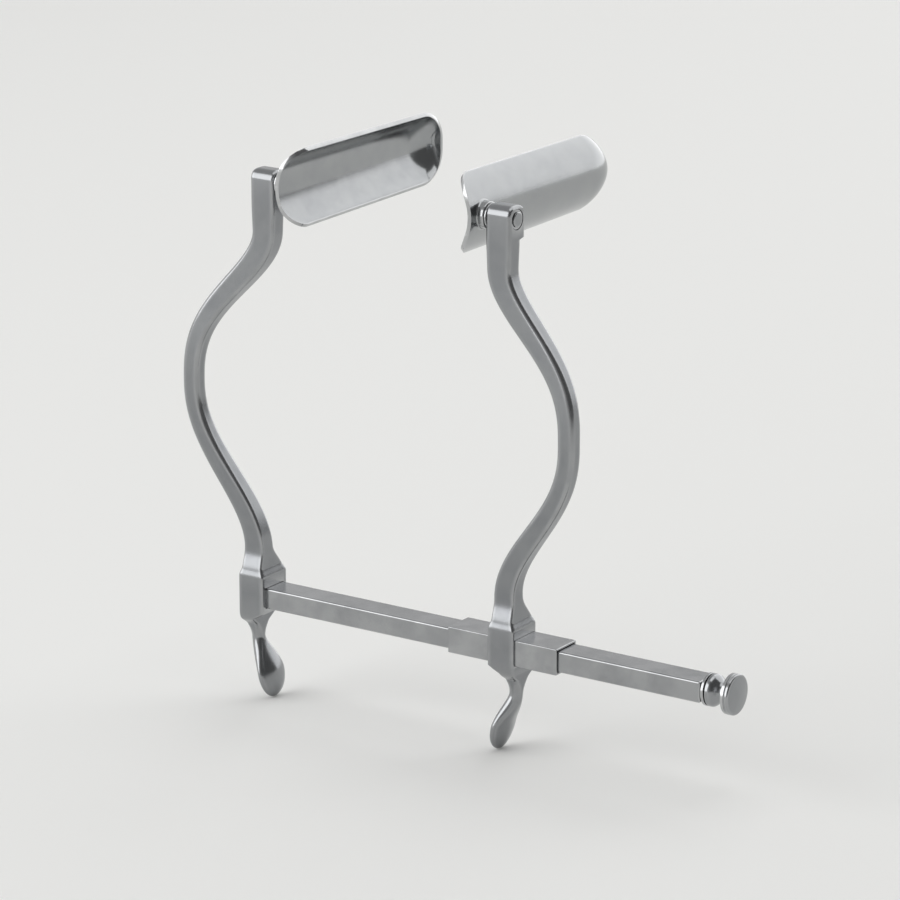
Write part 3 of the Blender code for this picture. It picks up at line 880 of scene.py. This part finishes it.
    def heights(self) -> list[float]:
        """Heights of the cross-sections, closer together where the form changes fast.

        Returns:
            The heights in rising order.
        """
        quarter, tip = math.pi / 2, self.paddle_height - self.tip_height
        fillet_start = self.step_z() - self.step_fillet
        made = [self.paddle_height - math.cos(quarter * row / self.tip_rows) * tip
                for row in range(self.tip_rows)]
        made += spaced(self.paddle_height, self.neck_height, self.paddle_rows)
        made += spaced(self.neck_height, self.foot_z(), self.neck_rows)
        made += spaced(self.foot_z(), -self.hub_drop, self.hub_rows)
        made += spaced(-self.hub_drop, self.hub_rise, self.hub_rows)
        made += spaced(self.hub_rise, self.hub_rise + self.flare_rise, self.flare_rows)
        made += spaced(self.hub_rise + self.flare_rise, self.bow_height, self.lower_bow_rows)
        made += spaced(self.bow_height, self.shank_start, self.upper_bow_rows)
        made += spaced(self.shank_start, fillet_start, self.shank_rows)
        made += [fillet_start, self.step_z()]
        turns = [quarter * row / self.crest_rows for row in range(self.crest_rows + 1)]
        made += [self.head_top - self.head_crest_radius * (1 - math.sin(turn)) for turn in turns]
        return made

    def build(self, name: str, finish: bpy.types.Material, body: Body) -> bpy.types.Object:
        """Loft the forging, broach its hub, drill its head and dress it.

        Args:
            name: The CAD node's name.
            finish: The steel's material.
            body: The body that it rides on.

        Returns:
            The finished piece.
        """
        piece = add_piece(f"{name}_forging", loft([self.ring(height) for height in self.heights()]))
        half_y, half_z = self.way_depth / 2, self.way_height / 2
        x, y, z = self.pin_place()
        seat = sorted((x - self.side.value * (self.head_width / 2 - self.washer_seat_depth),
                       x - self.side.value * self.head_width))
        cut_away(piece, [block((self.hub_x - self.hub_width, -half_y, -half_z),
                               (self.hub_x + self.hub_width, half_y, half_z)),
                         rod(x - self.head_width, x + self.head_width, self.pin_bore_radius,
                             (y, z)),
                         rod(seat[0], seat[1], self.washer_seat_radius, (y, z))])
        break_edges(piece, self.edge_break)
        return settle(piece, finish, body, name)


@dataclass
class TroughBlade:
    """A blade: a sheet bent to a trough, with round heel corners and a closed tip."""

    side: Side
    pin: tuple[float, float, float]
    back: float = 0.00825
    heel: float = 0.0080
    reach: float = 0.0832
    heel_width: float = 0.0278
    tip_width: float = 0.0264
    trough: float = 0.0074
    wall: float = 0.0014
    lip_round: float = 0.00045
    heel_corner: float = 0.0082
    tip_length: float = 0.0130
    tip_corner: float = 0.0112
    tip_fullness: float = 0.62
    lip_turn: float = 50.0
    shade_turn: float = 40.0
    rows: int = 170
    columns: int = 56
    rule: tuple[tuple, ...] = (
        # Distance from the pin along the blade, with rows closing up towards both ends
        ("half turn", "MULTIPLY_ADD", "Row", math.pi, math.pi / 2),
        ("turned", "COSINE", "half turn"),
        ("row share", "MULTIPLY_ADD", "turned", -0.5, 0.5),
        ("length", "ADD", "Heel", "Reach"),
        ("from heel", "MULTIPLY", "row share", "length"),
        ("along", "SUBTRACT", "from heel", "Heel"),
        # The closed tip: half width and depth run out along quarter circles
        ("tip start", "SUBTRACT", "Reach", "Tip Length"),
        ("into tip", "SUBTRACT", "along", "tip start"),
        ("tip ratio", "DIVIDE", "into tip", "Tip Length"),
        ("tip share", "MAXIMUM", "tip ratio", 0.0),
        ("tip square", "MULTIPLY", "tip share", "tip share"),
        ("tip rest", "SUBTRACT", 1.0, "tip square"),
        ("tip left", "MAXIMUM", "tip rest", 0.0),
        ("tip round", "SQRT", "tip left"),
        ("deep", "POWER", "tip round", "Tip Fullness"),
        # The straight trough narrows a little towards the tip
        ("past corner", "SUBTRACT", "from heel", "Heel Corner"),
        ("corners", "ADD", "Heel Corner", "Tip Length"),
        ("straight", "SUBTRACT", "length", "corners"),
        ("taper ratio", "DIVIDE", "past corner", "straight"),
        ("taper low", "MAXIMUM", "taper ratio", 0.0),
        ("taper", "MINIMUM", "taper low", 1.0),
        ("narrowing", "SUBTRACT", "Tip Half Width", "Heel Half Width"),
        ("straight half", "MULTIPLY_ADD", "taper", "narrowing", "Heel Half Width"),
        ("tip lack", "SUBTRACT", 1.0, "tip round"),
        ("tip cut", "MULTIPLY", "Tip Corner", "tip lack"),
        ("half", "SUBTRACT", "straight half", "tip cut"),
        # The heel's round corners are cut from the bent sheet, so they shorten its arc
        ("corner ratio", "DIVIDE", "past corner", "Heel Corner"),
        ("corner back", "MULTIPLY", "corner ratio", -1.0),
        ("corner share", "MAXIMUM", "corner back", 0.0),
        ("corner square", "MULTIPLY", "corner share", "corner share"),
        ("corner rest", "SUBTRACT", 1.0, "corner square"),
        ("corner left", "MAXIMUM", "corner rest", 0.0),
        ("corner round", "SQRT", "corner left"),
        ("corner lack", "SUBTRACT", 1.0, "corner round"),
        ("corner cut", "MULTIPLY", "Heel Corner", "corner lack"),
        ("cut half", "SUBTRACT", "Heel Half Width", "corner cut"),
        ("trough slope", "DIVIDE", "Trough", "Heel Half Width"),
        ("half bend", "ARCTANGENT", "trough slope"),
        ("bend", "MULTIPLY", "half bend", 2.0),
        ("bend sine", "SINE", "bend"),
        ("bend cosine", "COSINE", "bend"),
        ("cut ratio", "DIVIDE", "cut half", "Heel Half Width"),
        ("cut sine", "MULTIPLY", "cut ratio", "bend sine"),
        ("cut angle", "ARCSINE", "cut sine"),
        # Round the arc: place across the trough and depth below its rim
        ("angle", "MULTIPLY", "Column", "cut angle"),
        ("angle sine", "SINE", "angle"),
        ("angle cosine", "COSINE", "angle"),
        ("sine ratio", "DIVIDE", "angle sine", "bend sine"),
        ("across", "MULTIPLY", "half", "sine ratio"),
        ("drop", "SUBTRACT", "angle cosine", "bend cosine"),
        ("full drop", "SUBTRACT", 1.0, "bend cosine"),
        ("drop ratio", "DIVIDE", "drop", "full drop"),
        ("tip depth", "MULTIPLY", "Trough", "deep"),
        ("depth", "MULTIPLY", "tip depth", "drop ratio"),
        ("rim", "ADD", "Back", "Trough"),
        ("off back", "SUBTRACT", "rim", "depth"),
        ("out", "MULTIPLY", "off back", "Facing"))

    def tree(self) -> bpy.types.NodeTree:
        """Geometry nodes that bend a flat grid to the blade's back, from the blade's sizes.

        Returns:
            The node tree, with one named input for each size.
        """
        sizes = ("Heel", "Reach", "Heel Half Width", "Tip Half Width", "Trough", "Back",
                 "Heel Corner", "Tip Length", "Tip Corner", "Tip Fullness", "Facing")
        tree, found = start_tree("bent_trough", dict.fromkeys(sizes, "Float") | {
            "Pin": "Vector", "Rows": "Int", "Columns": "Int", "Steel": "Material"})
        grid = add_node(tree, "GeometryNodeMeshGrid", {
            "Size X": 1.0, "Size Y": 2.0, "Vertices X": found["Rows"],
            "Vertices Y": found["Columns"]})
        place = add_node(tree, "GeometryNodeInputPosition").outputs[0]
        flat = add_node(tree, "ShaderNodeSeparateXYZ", {0: place}).outputs
        found |= {"Row": flat["X"], "Column": flat["Y"]}
        add_rule(tree, self.rule, found)
        end_tree(tree, grid, [found["out"], found["along"], found["across"]], found["Pin"],
                 found["Steel"])
        return tree

    def build(self, name: str, finish: bpy.types.Material, body: Body) -> bpy.types.Object:
        """Bend, thicken and dress the blade.

        Args:
            name: The CAD node's name.
            finish: The steel's material.
            body: The body that it rides on.

        Returns:
            The finished piece.
        """
        label = f"{name}_trough"
        piece = add_object(label, bpy.data.meshes.new(label))
        bend = piece.modifiers.new("bend", "NODES")
        bend.node_group = self.tree()
        set_inputs(bend, {
            "Heel": self.heel, "Reach": self.reach, "Heel Half Width": self.heel_width / 2,
            "Tip Half Width": self.tip_width / 2, "Trough": self.trough, "Back": self.back,
            "Heel Corner": self.heel_corner, "Tip Length": self.tip_length,
            "Tip Corner": self.tip_corner, "Tip Fullness": self.tip_fullness,
            "Facing": float(self.side.value), "Pin": self.pin, "Rows": self.rows,
            "Columns": self.columns, "Steel": finish})
        wall = piece.modifiers.new("wall", "SOLIDIFY")
        wall.thickness, wall.offset = self.wall, float(self.side.value)
        wall.use_even_offset, wall.use_rim = True, True
        plain_mesh(piece)
        face_outwards(piece.data)
        break_edges(piece, self.lip_round, segments=4, angle=self.lip_turn)
        shade_round(piece.data, self.shade_turn)
        return settle(piece, finish, body, name)


@dataclass
class TurnedPiece:
    """A piece turned about an axis along X, from (distance along X, radius) points."""

    profile: list[tuple[float, float]]
    axis_place: tuple[float, float, float]
    facing: int = 1
    closed: bool = False
    steps: int = 72
    weld: float = 1e-6
    turn_rule: tuple[tuple, ...] = (
        # The grid's row and column from a point's number, and the angle of the column
        ("round", "ADD", "Steps", 1.0), ("rows", "DIVIDE", "Number", "round"),
        ("row", "FLOOR", "rows"), ("column", "MODULO", "Number", "round"),
        ("share", "DIVIDE", "column", "Steps"), ("angle", "MULTIPLY", "share", 2 * math.pi),
        ("sine", "SINE", "angle"), ("cosine", "COSINE", "angle"))
    place_rule: tuple[tuple, ...] = (
        ("along", "MULTIPLY", "Profile X", "Facing"),
        ("y", "MULTIPLY", "Profile Radius", "cosine"), ("z", "MULTIPLY", "Profile Radius", "sine"))

    def tree(self) -> bpy.types.NodeTree:
        """Geometry nodes that turn a profile about the X axis.

        Returns:
            The node tree: row after row of a grid takes its radius from the profile's points.
        """
        tree, found = start_tree("turning", {
            "Profile": "Geometry", "Steps": "Int", "Facing": "Float", "Place": "Vector",
            "Steel": "Material"})
        found["Number"] = add_node(tree, "GeometryNodeInputIndex").outputs[0]
        add_rule(tree, self.turn_rule, found)
        count = add_node(tree, "GeometryNodeAttributeDomainSize", {0: found["Profile"]},
                         component="MESH")
        grid = add_node(tree, "GeometryNodeMeshGrid", {
            "Size X": 1.0, "Size Y": 1.0, "Vertices X": count.outputs["Point Count"],
            "Vertices Y": found["round"]})
        place = add_node(tree, "GeometryNodeInputPosition").outputs[0]
        sample = add_node(tree, "GeometryNodeSampleIndex", {
            "Geometry": found["Profile"], "Value": place, "Index": found["row"]},
            data_type="FLOAT_VECTOR", domain="POINT")
        point = add_node(tree, "ShaderNodeSeparateXYZ", {0: sample.outputs["Value"]}).outputs
        found |= {"Profile X": point["X"], "Profile Radius": point["Y"]}
        add_rule(tree, self.place_rule, found)
        end_tree(tree, grid, [found["along"], found["y"], found["z"]], found["Place"],
                 found["Steel"], self.weld)
        return tree

    def build(self, name: str, label: str, finish: bpy.types.Material, body: Body,
              edge: float = 0.0) -> bpy.types.Object:
        """Turn and dress the piece.

        Args:
            name: The CAD node's name.
            label: What the piece's own object is called.
            finish: The steel's material.
            body: The body that it rides on.
            edge: Width of the rounding on its sharp edges.

        Returns:
            The finished piece.
        """
        points = self.profile + self.profile[:1] if self.closed else self.profile
        mesh = bpy.data.meshes.new(label)
        mesh.from_pydata([(along, radius, 0.0) for along, radius in points],
                         [(index, index + 1) for index in range(len(points) - 1)], [])
        piece = add_object(label, mesh)
        lathe = piece.modifiers.new("lathe", "NODES")
        lathe.node_group = self.tree()
        set_inputs(lathe, {"Steps": self.steps, "Facing": float(self.facing),
                           "Place": self.axis_place, "Steel": finish})
        plain_mesh(piece)
        face_outwards(piece.data)
        shade_round(piece.data, SHARP_TURN)
        if edge:
            break_edges(piece, edge)
        return settle(piece, finish, body, name, reach=0.0004)


@dataclass
class HingeLug:
    """The round boss on a blade's back, with a fillet of braze where it meets the bent sheet."""

    side: Side
    pin: tuple[float, float, float]
    bore_radius: float
    blade_back: float
    face: float = 0.00575
    bend_radius: float = 0.016755
    diameter: float = 0.0096
    edge: float = 0.0004
    braze_height: float = 0.0006
    braze_reach: float = 0.0005
    sunk: float = 0.00008
    steps: int = 96
    edge_steps: int = 5
    braze_steps: int = 6

    def build(self, name: str, finish: bpy.types.Material, body: Body) -> bpy.types.Object:
        """Make the boss, follow the blade's back with its foot, and dress it.

        Args:
            name: The CAD node's name.
            finish: The steel's material.
            body: The body that it rides on.

        Returns:
            The finished piece.
        """
        facing, full, curve = self.side.value, self.diameter / 2, self.bend_radius
        rows: list[tuple[float, float, bool]] = [(self.face, self.bore_radius, False)]
        for step in range(self.edge_steps + 1):
            turn = math.pi / 2 * (1 - step / self.edge_steps)
            rows.append((self.face + self.edge * (1 - math.sin(turn)),
                         full - self.edge * (1 - math.cos(turn)), False))
        for step in range(self.braze_steps + 1):
            turn = math.pi / 2 * step / self.braze_steps
            rows.append((-self.braze_height * (1 - math.sin(turn)),
                         full + self.braze_reach * (1 - math.cos(turn)), True))
        rows.append((self.sunk, full + self.braze_reach, True))
        rows.append((self.sunk, self.bore_radius, True))
        rings = []
        for off, radius, on_back in rows:
            ring = []
            for step in range(self.steps):
                turn = 2 * math.pi * step / self.steps
                y, z = radius * math.cos(turn), radius * math.sin(turn)
                bend = self.blade_back + curve - math.sqrt(curve ** 2 - z ** 2)
                x = bend + off if on_back else off
                ring.append(Vector((self.pin[0] + facing * x, self.pin[1] + y, self.pin[2] + z)))
            rings.append(ring)
        piece = add_piece(f"{name}_boss", loft(rings, ring_shaped=True))
        return settle(piece, finish, body, name, reach=0.0004)


@dataclass
class Slide:
    """The crossbar and the sleeve that runs on it."""

    bar_length: float = 0.1878
    bar_depth: float = 0.0105
    bar_height: float = 0.0074
    bar_edge: float = 0.0006
    sleeve_middle: float = SLIDING_HUB_X
    sleeve_length: float = 0.0440
    sleeve_depth: float = 0.0124
    sleeve_height: float = 0.0093
    sleeve_edge: float = 0.0003
    clearance: float = 0.00015
    hub_gap: float = 0.00015

    def build(self, finish: bpy.types.Material) -> None:
        """Grind the bar, broach the sleeve and dress both.

        Args:
            finish: The steel's material.
        """
        half_y, half_z = self.bar_depth / 2, self.bar_height / 2
        bar = add_piece("crossbar_bar", block((0.0, -half_y, -half_z),
                                              (self.bar_length, half_y, half_z)))
        break_edges(bar, self.bar_edge, segments=4)
        settle(bar, finish, Body.FRAME, "crossbar", reach=0.0008)
        low = self.sleeve_middle - self.sleeve_length / 2
        high = self.sleeve_middle + self.sleeve_length / 2
        out_y, out_z = self.sleeve_depth / 2, self.sleeve_height / 2
        sleeve = add_piece("slide_sleeve_tube", block((low, -out_y, -out_z), (high, out_y, out_z)))
        in_y, in_z = half_y + self.clearance, half_z + self.clearance
        way = block((low - self.sleeve_length, -in_y, -in_z),
                    (high + self.sleeve_length, in_y, in_z))
        cut_away(sleeve, [way])
        break_edges(sleeve, self.sleeve_edge, segments=3)
        settle(sleeve, finish, Body.SLIDER, "slide_sleeve", reach=0.0006)


@dataclass
class EndKnob:
    """The stop collar and the turned knob on the bar's end."""

    bar_end: float
    seat_gap: float = 0.00025
    collar_diameter: float = 0.0113
    collar_thickness: float = 0.0011
    bead_diameter: float = 0.0112
    bead_length: float = 0.0050
    bead_band: float = 0.0012
    neck_diameter: float = 0.0068
    neck_length: float = 0.0008
    head_diameter: float = 0.0140
    head_rim: float = 0.0027
    head_back: float = 0.0013
    edge_round: float = 0.0005
    groove_width: float = 0.0007
    groove_depth: float = 0.0003
    face_dome: float = 0.0006
    stud_diameter: float = 0.0040
    stud_length: float = 0.0080
    face_steps: int = 12
    back_steps: int = 12
    edge_steps: int = 8
    bead_steps: int = 16
    turning_steps: int = 96

    def profile(self) -> list[tuple[float, float]]:
        """The knob's outline from the face back.

        Returns:
            (distance from the bar's end, radius) points.
        """
        bead_start = self.seat_gap * 2 + self.collar_thickness
        bead_end = bead_start + self.bead_length
        rim_start = bead_end + self.neck_length + self.head_back
        rim_end = rim_start + self.head_rim
        face, middle = rim_end + self.face_dome, (rim_start + rim_end) / 2
        bead, neck, head = self.bead_diameter / 2, self.neck_diameter / 2, self.head_diameter / 2
        stud, flat = self.stud_diameter / 2, head - self.edge_round
        points = [(face - self.face_dome * (step / self.face_steps) ** 2,
                   flat * step / self.face_steps) for step in range(self.face_steps)]
        quarter = [math.pi / 2 * step / self.edge_steps for step in range(self.edge_steps + 1)]
        points += [(rim_end - self.edge_round * (1 - math.cos(turn)),
                    flat + self.edge_round * math.sin(turn)) for turn in quarter]
        points += [(middle + self.groove_width / 2 * math.cos(2 * turn),
                    head - self.groove_depth * math.sin(2 * turn)) for turn in quarter]
        points += [(rim_start, head)]
        points += [(rim_start - self.head_back * step / self.back_steps,
                    head - (head - neck) * math.sin(math.pi / 2 * step / self.back_steps))
                   for step in range(1, self.back_steps + 1)]
        points += [(bead_end - (self.bead_length - self.bead_band) * step / self.bead_steps,
                    neck + (bead - neck) * ease(step / self.bead_steps, 1.0))
                   for step in range(self.bead_steps + 1)]
        points += [(bead_start + self.edge_round * (1 - math.sin(turn)),
                    bead - self.edge_round * (1 - math.cos(turn))) for turn in quarter]
        points += [(bead_start, stud), (-self.stud_length, stud), (-self.stud_length, 0.0)]
        return points

    def build(self, finish: bpy.types.Material) -> None:
        """Turn and dress the collar and the knob.

        Args:
            finish: The steel's material.
        """
        inner, outer = self.stud_diameter / 2 + self.seat_gap, self.collar_diameter / 2
        near, far = self.seat_gap, self.seat_gap + self.collar_thickness
        place = (self.bar_end, 0.0, 0.0)
        ring = [(far, inner), (far, outer), (near, outer), (near, inner)]
        TurnedPiece(ring, place, closed=True).build(
            "stop_collar", "stop_collar_ring", finish, Body.FRAME, edge=self.collar_thickness / 5)
        TurnedPiece(self.profile(), place, steps=self.turning_steps).build(
            "end_knob", "end_knob_turning", finish, Body.FRAME)


@dataclass
class HingePins:
    """The pin of one hinge, with the spring washer and the outer washer on it."""

    side: Side
    pin: tuple[float, float, float]
    head_width: float
    seat_depth: float
    bore_radius: float
    washer_gap: float = 0.00015
    washer_thickness: float = 0.0006
    spring_washer_diameter: float = 0.0088
    outer_washer_diameter: float = 0.0068
    pin_diameter: float = 0.0032
    pin_head_diameter: float = 0.0052
    pin_head_height: float = 0.0005
    pin_end: float = 0.0080
    crown_share: float = 0.7
    crown_fall: float = 0.12
    edge_fall: float = 0.38
    crown_steps: int = 8
    edge_steps: int = 6

    def build(self, prefix: str, finish: bpy.types.Material, body: Body) -> None:
        """Turn and dress the three pieces.

        Args:
            prefix: The side's name, which the CAD nodes' names start with.
            finish: The steel's material.
            body: The body that they ride on.
        """
        seat = self.head_width / 2 + self.washer_gap
        base = seat - self.seat_depth + self.washer_thickness + self.washer_gap
        crown = base + self.pin_head_height
        head, shank = self.pin_head_diameter / 2, self.pin_diameter / 2
        profile = [(crown - self.pin_head_height * self.crown_fall * (step / self.crown_steps) ** 2,
                    head * self.crown_share * step / self.crown_steps)
                   for step in range(self.crown_steps + 1)]
        for step in range(1, self.edge_steps + 1):
            turn = math.pi / 2 * step / self.edge_steps
            fall = self.crown_fall + self.edge_fall * (1 - math.cos(turn))
            share = self.crown_share + (1 - self.crown_share) * math.sin(turn)
            profile.append((crown - self.pin_head_height * fall, head * share))
        profile += [(base, head), (base, shank), (-self.pin_end, shank), (-self.pin_end, 0.0)]
        out = -self.side.value
        TurnedPiece(profile, self.pin, facing=out).build(
            f"{prefix}_hinge_pin", f"{prefix}_headed_pin", finish, body)
        for label, start, diameter in (
                ("outer_washer", seat - self.seat_depth, self.outer_washer_diameter),
                ("spring_washer", -seat - self.washer_thickness, self.spring_washer_diameter)):
            far = start + self.washer_thickness
            ring = [(far, self.bore_radius), (far, diameter / 2),
                    (start, diameter / 2), (start, self.bore_radius)]
            TurnedPiece(ring, self.pin, facing=out, closed=True).build(
                f"{prefix}_{label}", f"{prefix}_{label}_ring", finish, body,
                edge=self.washer_thickness / 5)


@dataclass
class Studio:
    """Plain pale floor, soft light and the camera."""

    azimuth: float = 33.9
    elevation: float = 16.4
    distance: float = 1.5
    lens: float = 176.7
    target: tuple[float, float, float] = (0.0849, 0.0, 0.0655)
    floor_height: float = -0.0378
    floor_colour: str = "f4f4f2"
    floor_reach: float = 8.0
    floor_roughness: float = 0.9
    floor_gleam: float = 0.2
    sky_colour: str = "f4f4f4"
    sky_bright_way: tuple[float, float, float] = (-0.80, 0.0, -0.60)
    sky_span: tuple[float, float] = (-0.7, 0.6)
    sky_dimmest: float = 0.16
    sensor_width: float = 36.0
    sight: tuple[float, float] = (0.05, 50.0)
    # Name, place, side and power in watts of each lamp
    lamps: tuple[tuple[str, tuple[float, float, float], float, float], ...] = (
        ("key_light", (-1.35, -1.65, 0.98), 2.0, 23.0),
        ("back_light", (0.60, 3.40, 1.95), 4.6, 84.0),
        ("top_light", (0.10, 0.30, 3.00), 2.4, 22.0))

    def camera_direction(self) -> Vector:
        """Way from the object to the camera.

        Returns:
            A unit vector.
        """
        a, e = math.radians(self.azimuth), math.radians(self.elevation)
        return Vector((math.sin(a) * math.cos(e), -math.cos(a) * math.cos(e), math.sin(e)))

    def aim(self, thing: bpy.types.Object, place: Vector, way: Vector) -> None:
        """Put a camera or a lamp in its place and turn it to face a way.

        Args:
            thing: The object.
            place: Where it goes.
            way: The way that it faces.
        """
        thing.location = place
        thing.rotation_mode = "QUATERNION"
        thing.rotation_quaternion = way.to_track_quat("-Z", "Y")

    def add_camera(self) -> None:
        """Set the camera at the picture's viewing angle."""
        made = add_object("camera", bpy.data.cameras.new("camera"))
        made.data.lens, made.data.sensor_width = self.lens, self.sensor_width
        made.data.clip_start, made.data.clip_end = self.sight
        way = self.camera_direction()
        self.aim(made, Vector(self.target) + way * self.distance, -way)
        bpy.context.scene.camera = made

    def add_floor(self) -> None:
        """Lay a plain pale floor, which runs out of sight."""
        shape, far = bmesh.new(), self.floor_reach
        shape.faces.new([shape.verts.new((x, y, self.floor_height))
                         for x, y in ((-far, -far), (far, -far), (far, far), (-far, far))])
        floor = add_piece("studio_floor", shape)
        made = bpy.data.materials.new("pale_matt_floor")
        made.use_nodes = True
        shader = made.node_tree.nodes["Principled BSDF"]
        shader.inputs["Base Color"].default_value = linear(self.floor_colour)
        shader.inputs["Roughness"].default_value = self.floor_roughness
        shader.inputs["Specular IOR Level"].default_value = self.floor_gleam
        floor.data.materials.append(made)

    def add_world(self) -> None:
        """A soft studio sky: brightest low on the left, dimmer overhead and to the right."""
        world = bpy.data.worlds.new("soft_studio")
        world.use_nodes = True
        bpy.context.scene.world = world
        tree = world.node_tree
        tree.nodes.clear()
        way = add_node(tree, "ShaderNodeTexCoord").outputs["Generated"]
        bright = add_node(tree, "ShaderNodeVectorMath", {0: way, 1: self.sky_bright_way},
                          operation="DOT_PRODUCT")
        shade = add_ramp(tree, bright.outputs["Value"], self.sky_span, (self.sky_dimmest, 1.0))
        back = add_node(tree, "ShaderNodeBackground", {
            "Color": linear(self.sky_colour), "Strength": shade})
        add_node(tree, "ShaderNodeOutputWorld", {"Surface": back.outputs[0]})

    def add_lamp(self, name: str, place: tuple[float, float, float], size: float,
                 power: float) -> None:
        """Hang a square soft light that faces the middle of the object.

        Args:
            name: The lamp's name.
            place: Where it hangs.
            size: Its side.
            power: Its power in watts.
        """
        lamp = bpy.data.lights.new(name, "AREA")
        lamp.size, lamp.energy = size, power
        self.aim(add_object(name, lamp), Vector(place), Vector(self.target) - Vector(place))

    def build(self) -> None:
        """Set up the camera, the floor, the sky and the lamps."""
        self.add_camera()
        self.add_floor()
        self.add_world()
        for name, place, size, power in self.lamps:
            self.add_lamp(name, place, size, power)
        bpy.context.scene.view_settings.view_transform = "Standard"


def main() -> None:
    """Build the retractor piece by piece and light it."""
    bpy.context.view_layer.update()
    Studio().build()
    forged, ground, mirror, turned = (steel.build() for steel in (
        FORGED_STEEL, GROUND_STEEL, MIRROR_STEEL, TURNED_STEEL))
    fixed = ArmForging(Side.LEFT, FIXED_HUB_X)
    fixed.build("fixed_arm", forged, Body.FRAME)
    slide = Slide()
    sliding = ArmForging(Side.RIGHT, SLIDING_HUB_X, way_depth=slide.sleeve_depth + slide.hub_gap,
                         way_height=slide.sleeve_height + slide.hub_gap)
    sliding.build("sliding_arm", forged, Body.SLIDER)
    slide.build(ground)
    EndKnob(slide.bar_length).build(turned)
    for arm, prefix, body in ((fixed, "left", Body.LEFT_SWIVEL),
                              (sliding, "right", Body.RIGHT_SWIVEL)):
        pin, bore = arm.pin_place(), arm.pin_bore_radius
        blade = TroughBlade(arm.side, pin)
        blade.build(f"{prefix}_blade", mirror, body)
        HingeLug(arm.side, pin, bore, blade.back).build(f"{prefix}_hinge_lug", mirror, body)
        pins = HingePins(arm.side, pin, arm.head_width, arm.washer_seat_depth, bore)
        pins.build(prefix, turned, body)
    log.info("sizes written")


if __name__ == "__main__":
    logging.basicConfig(level=logging.INFO, format="%(message)s")
    main()
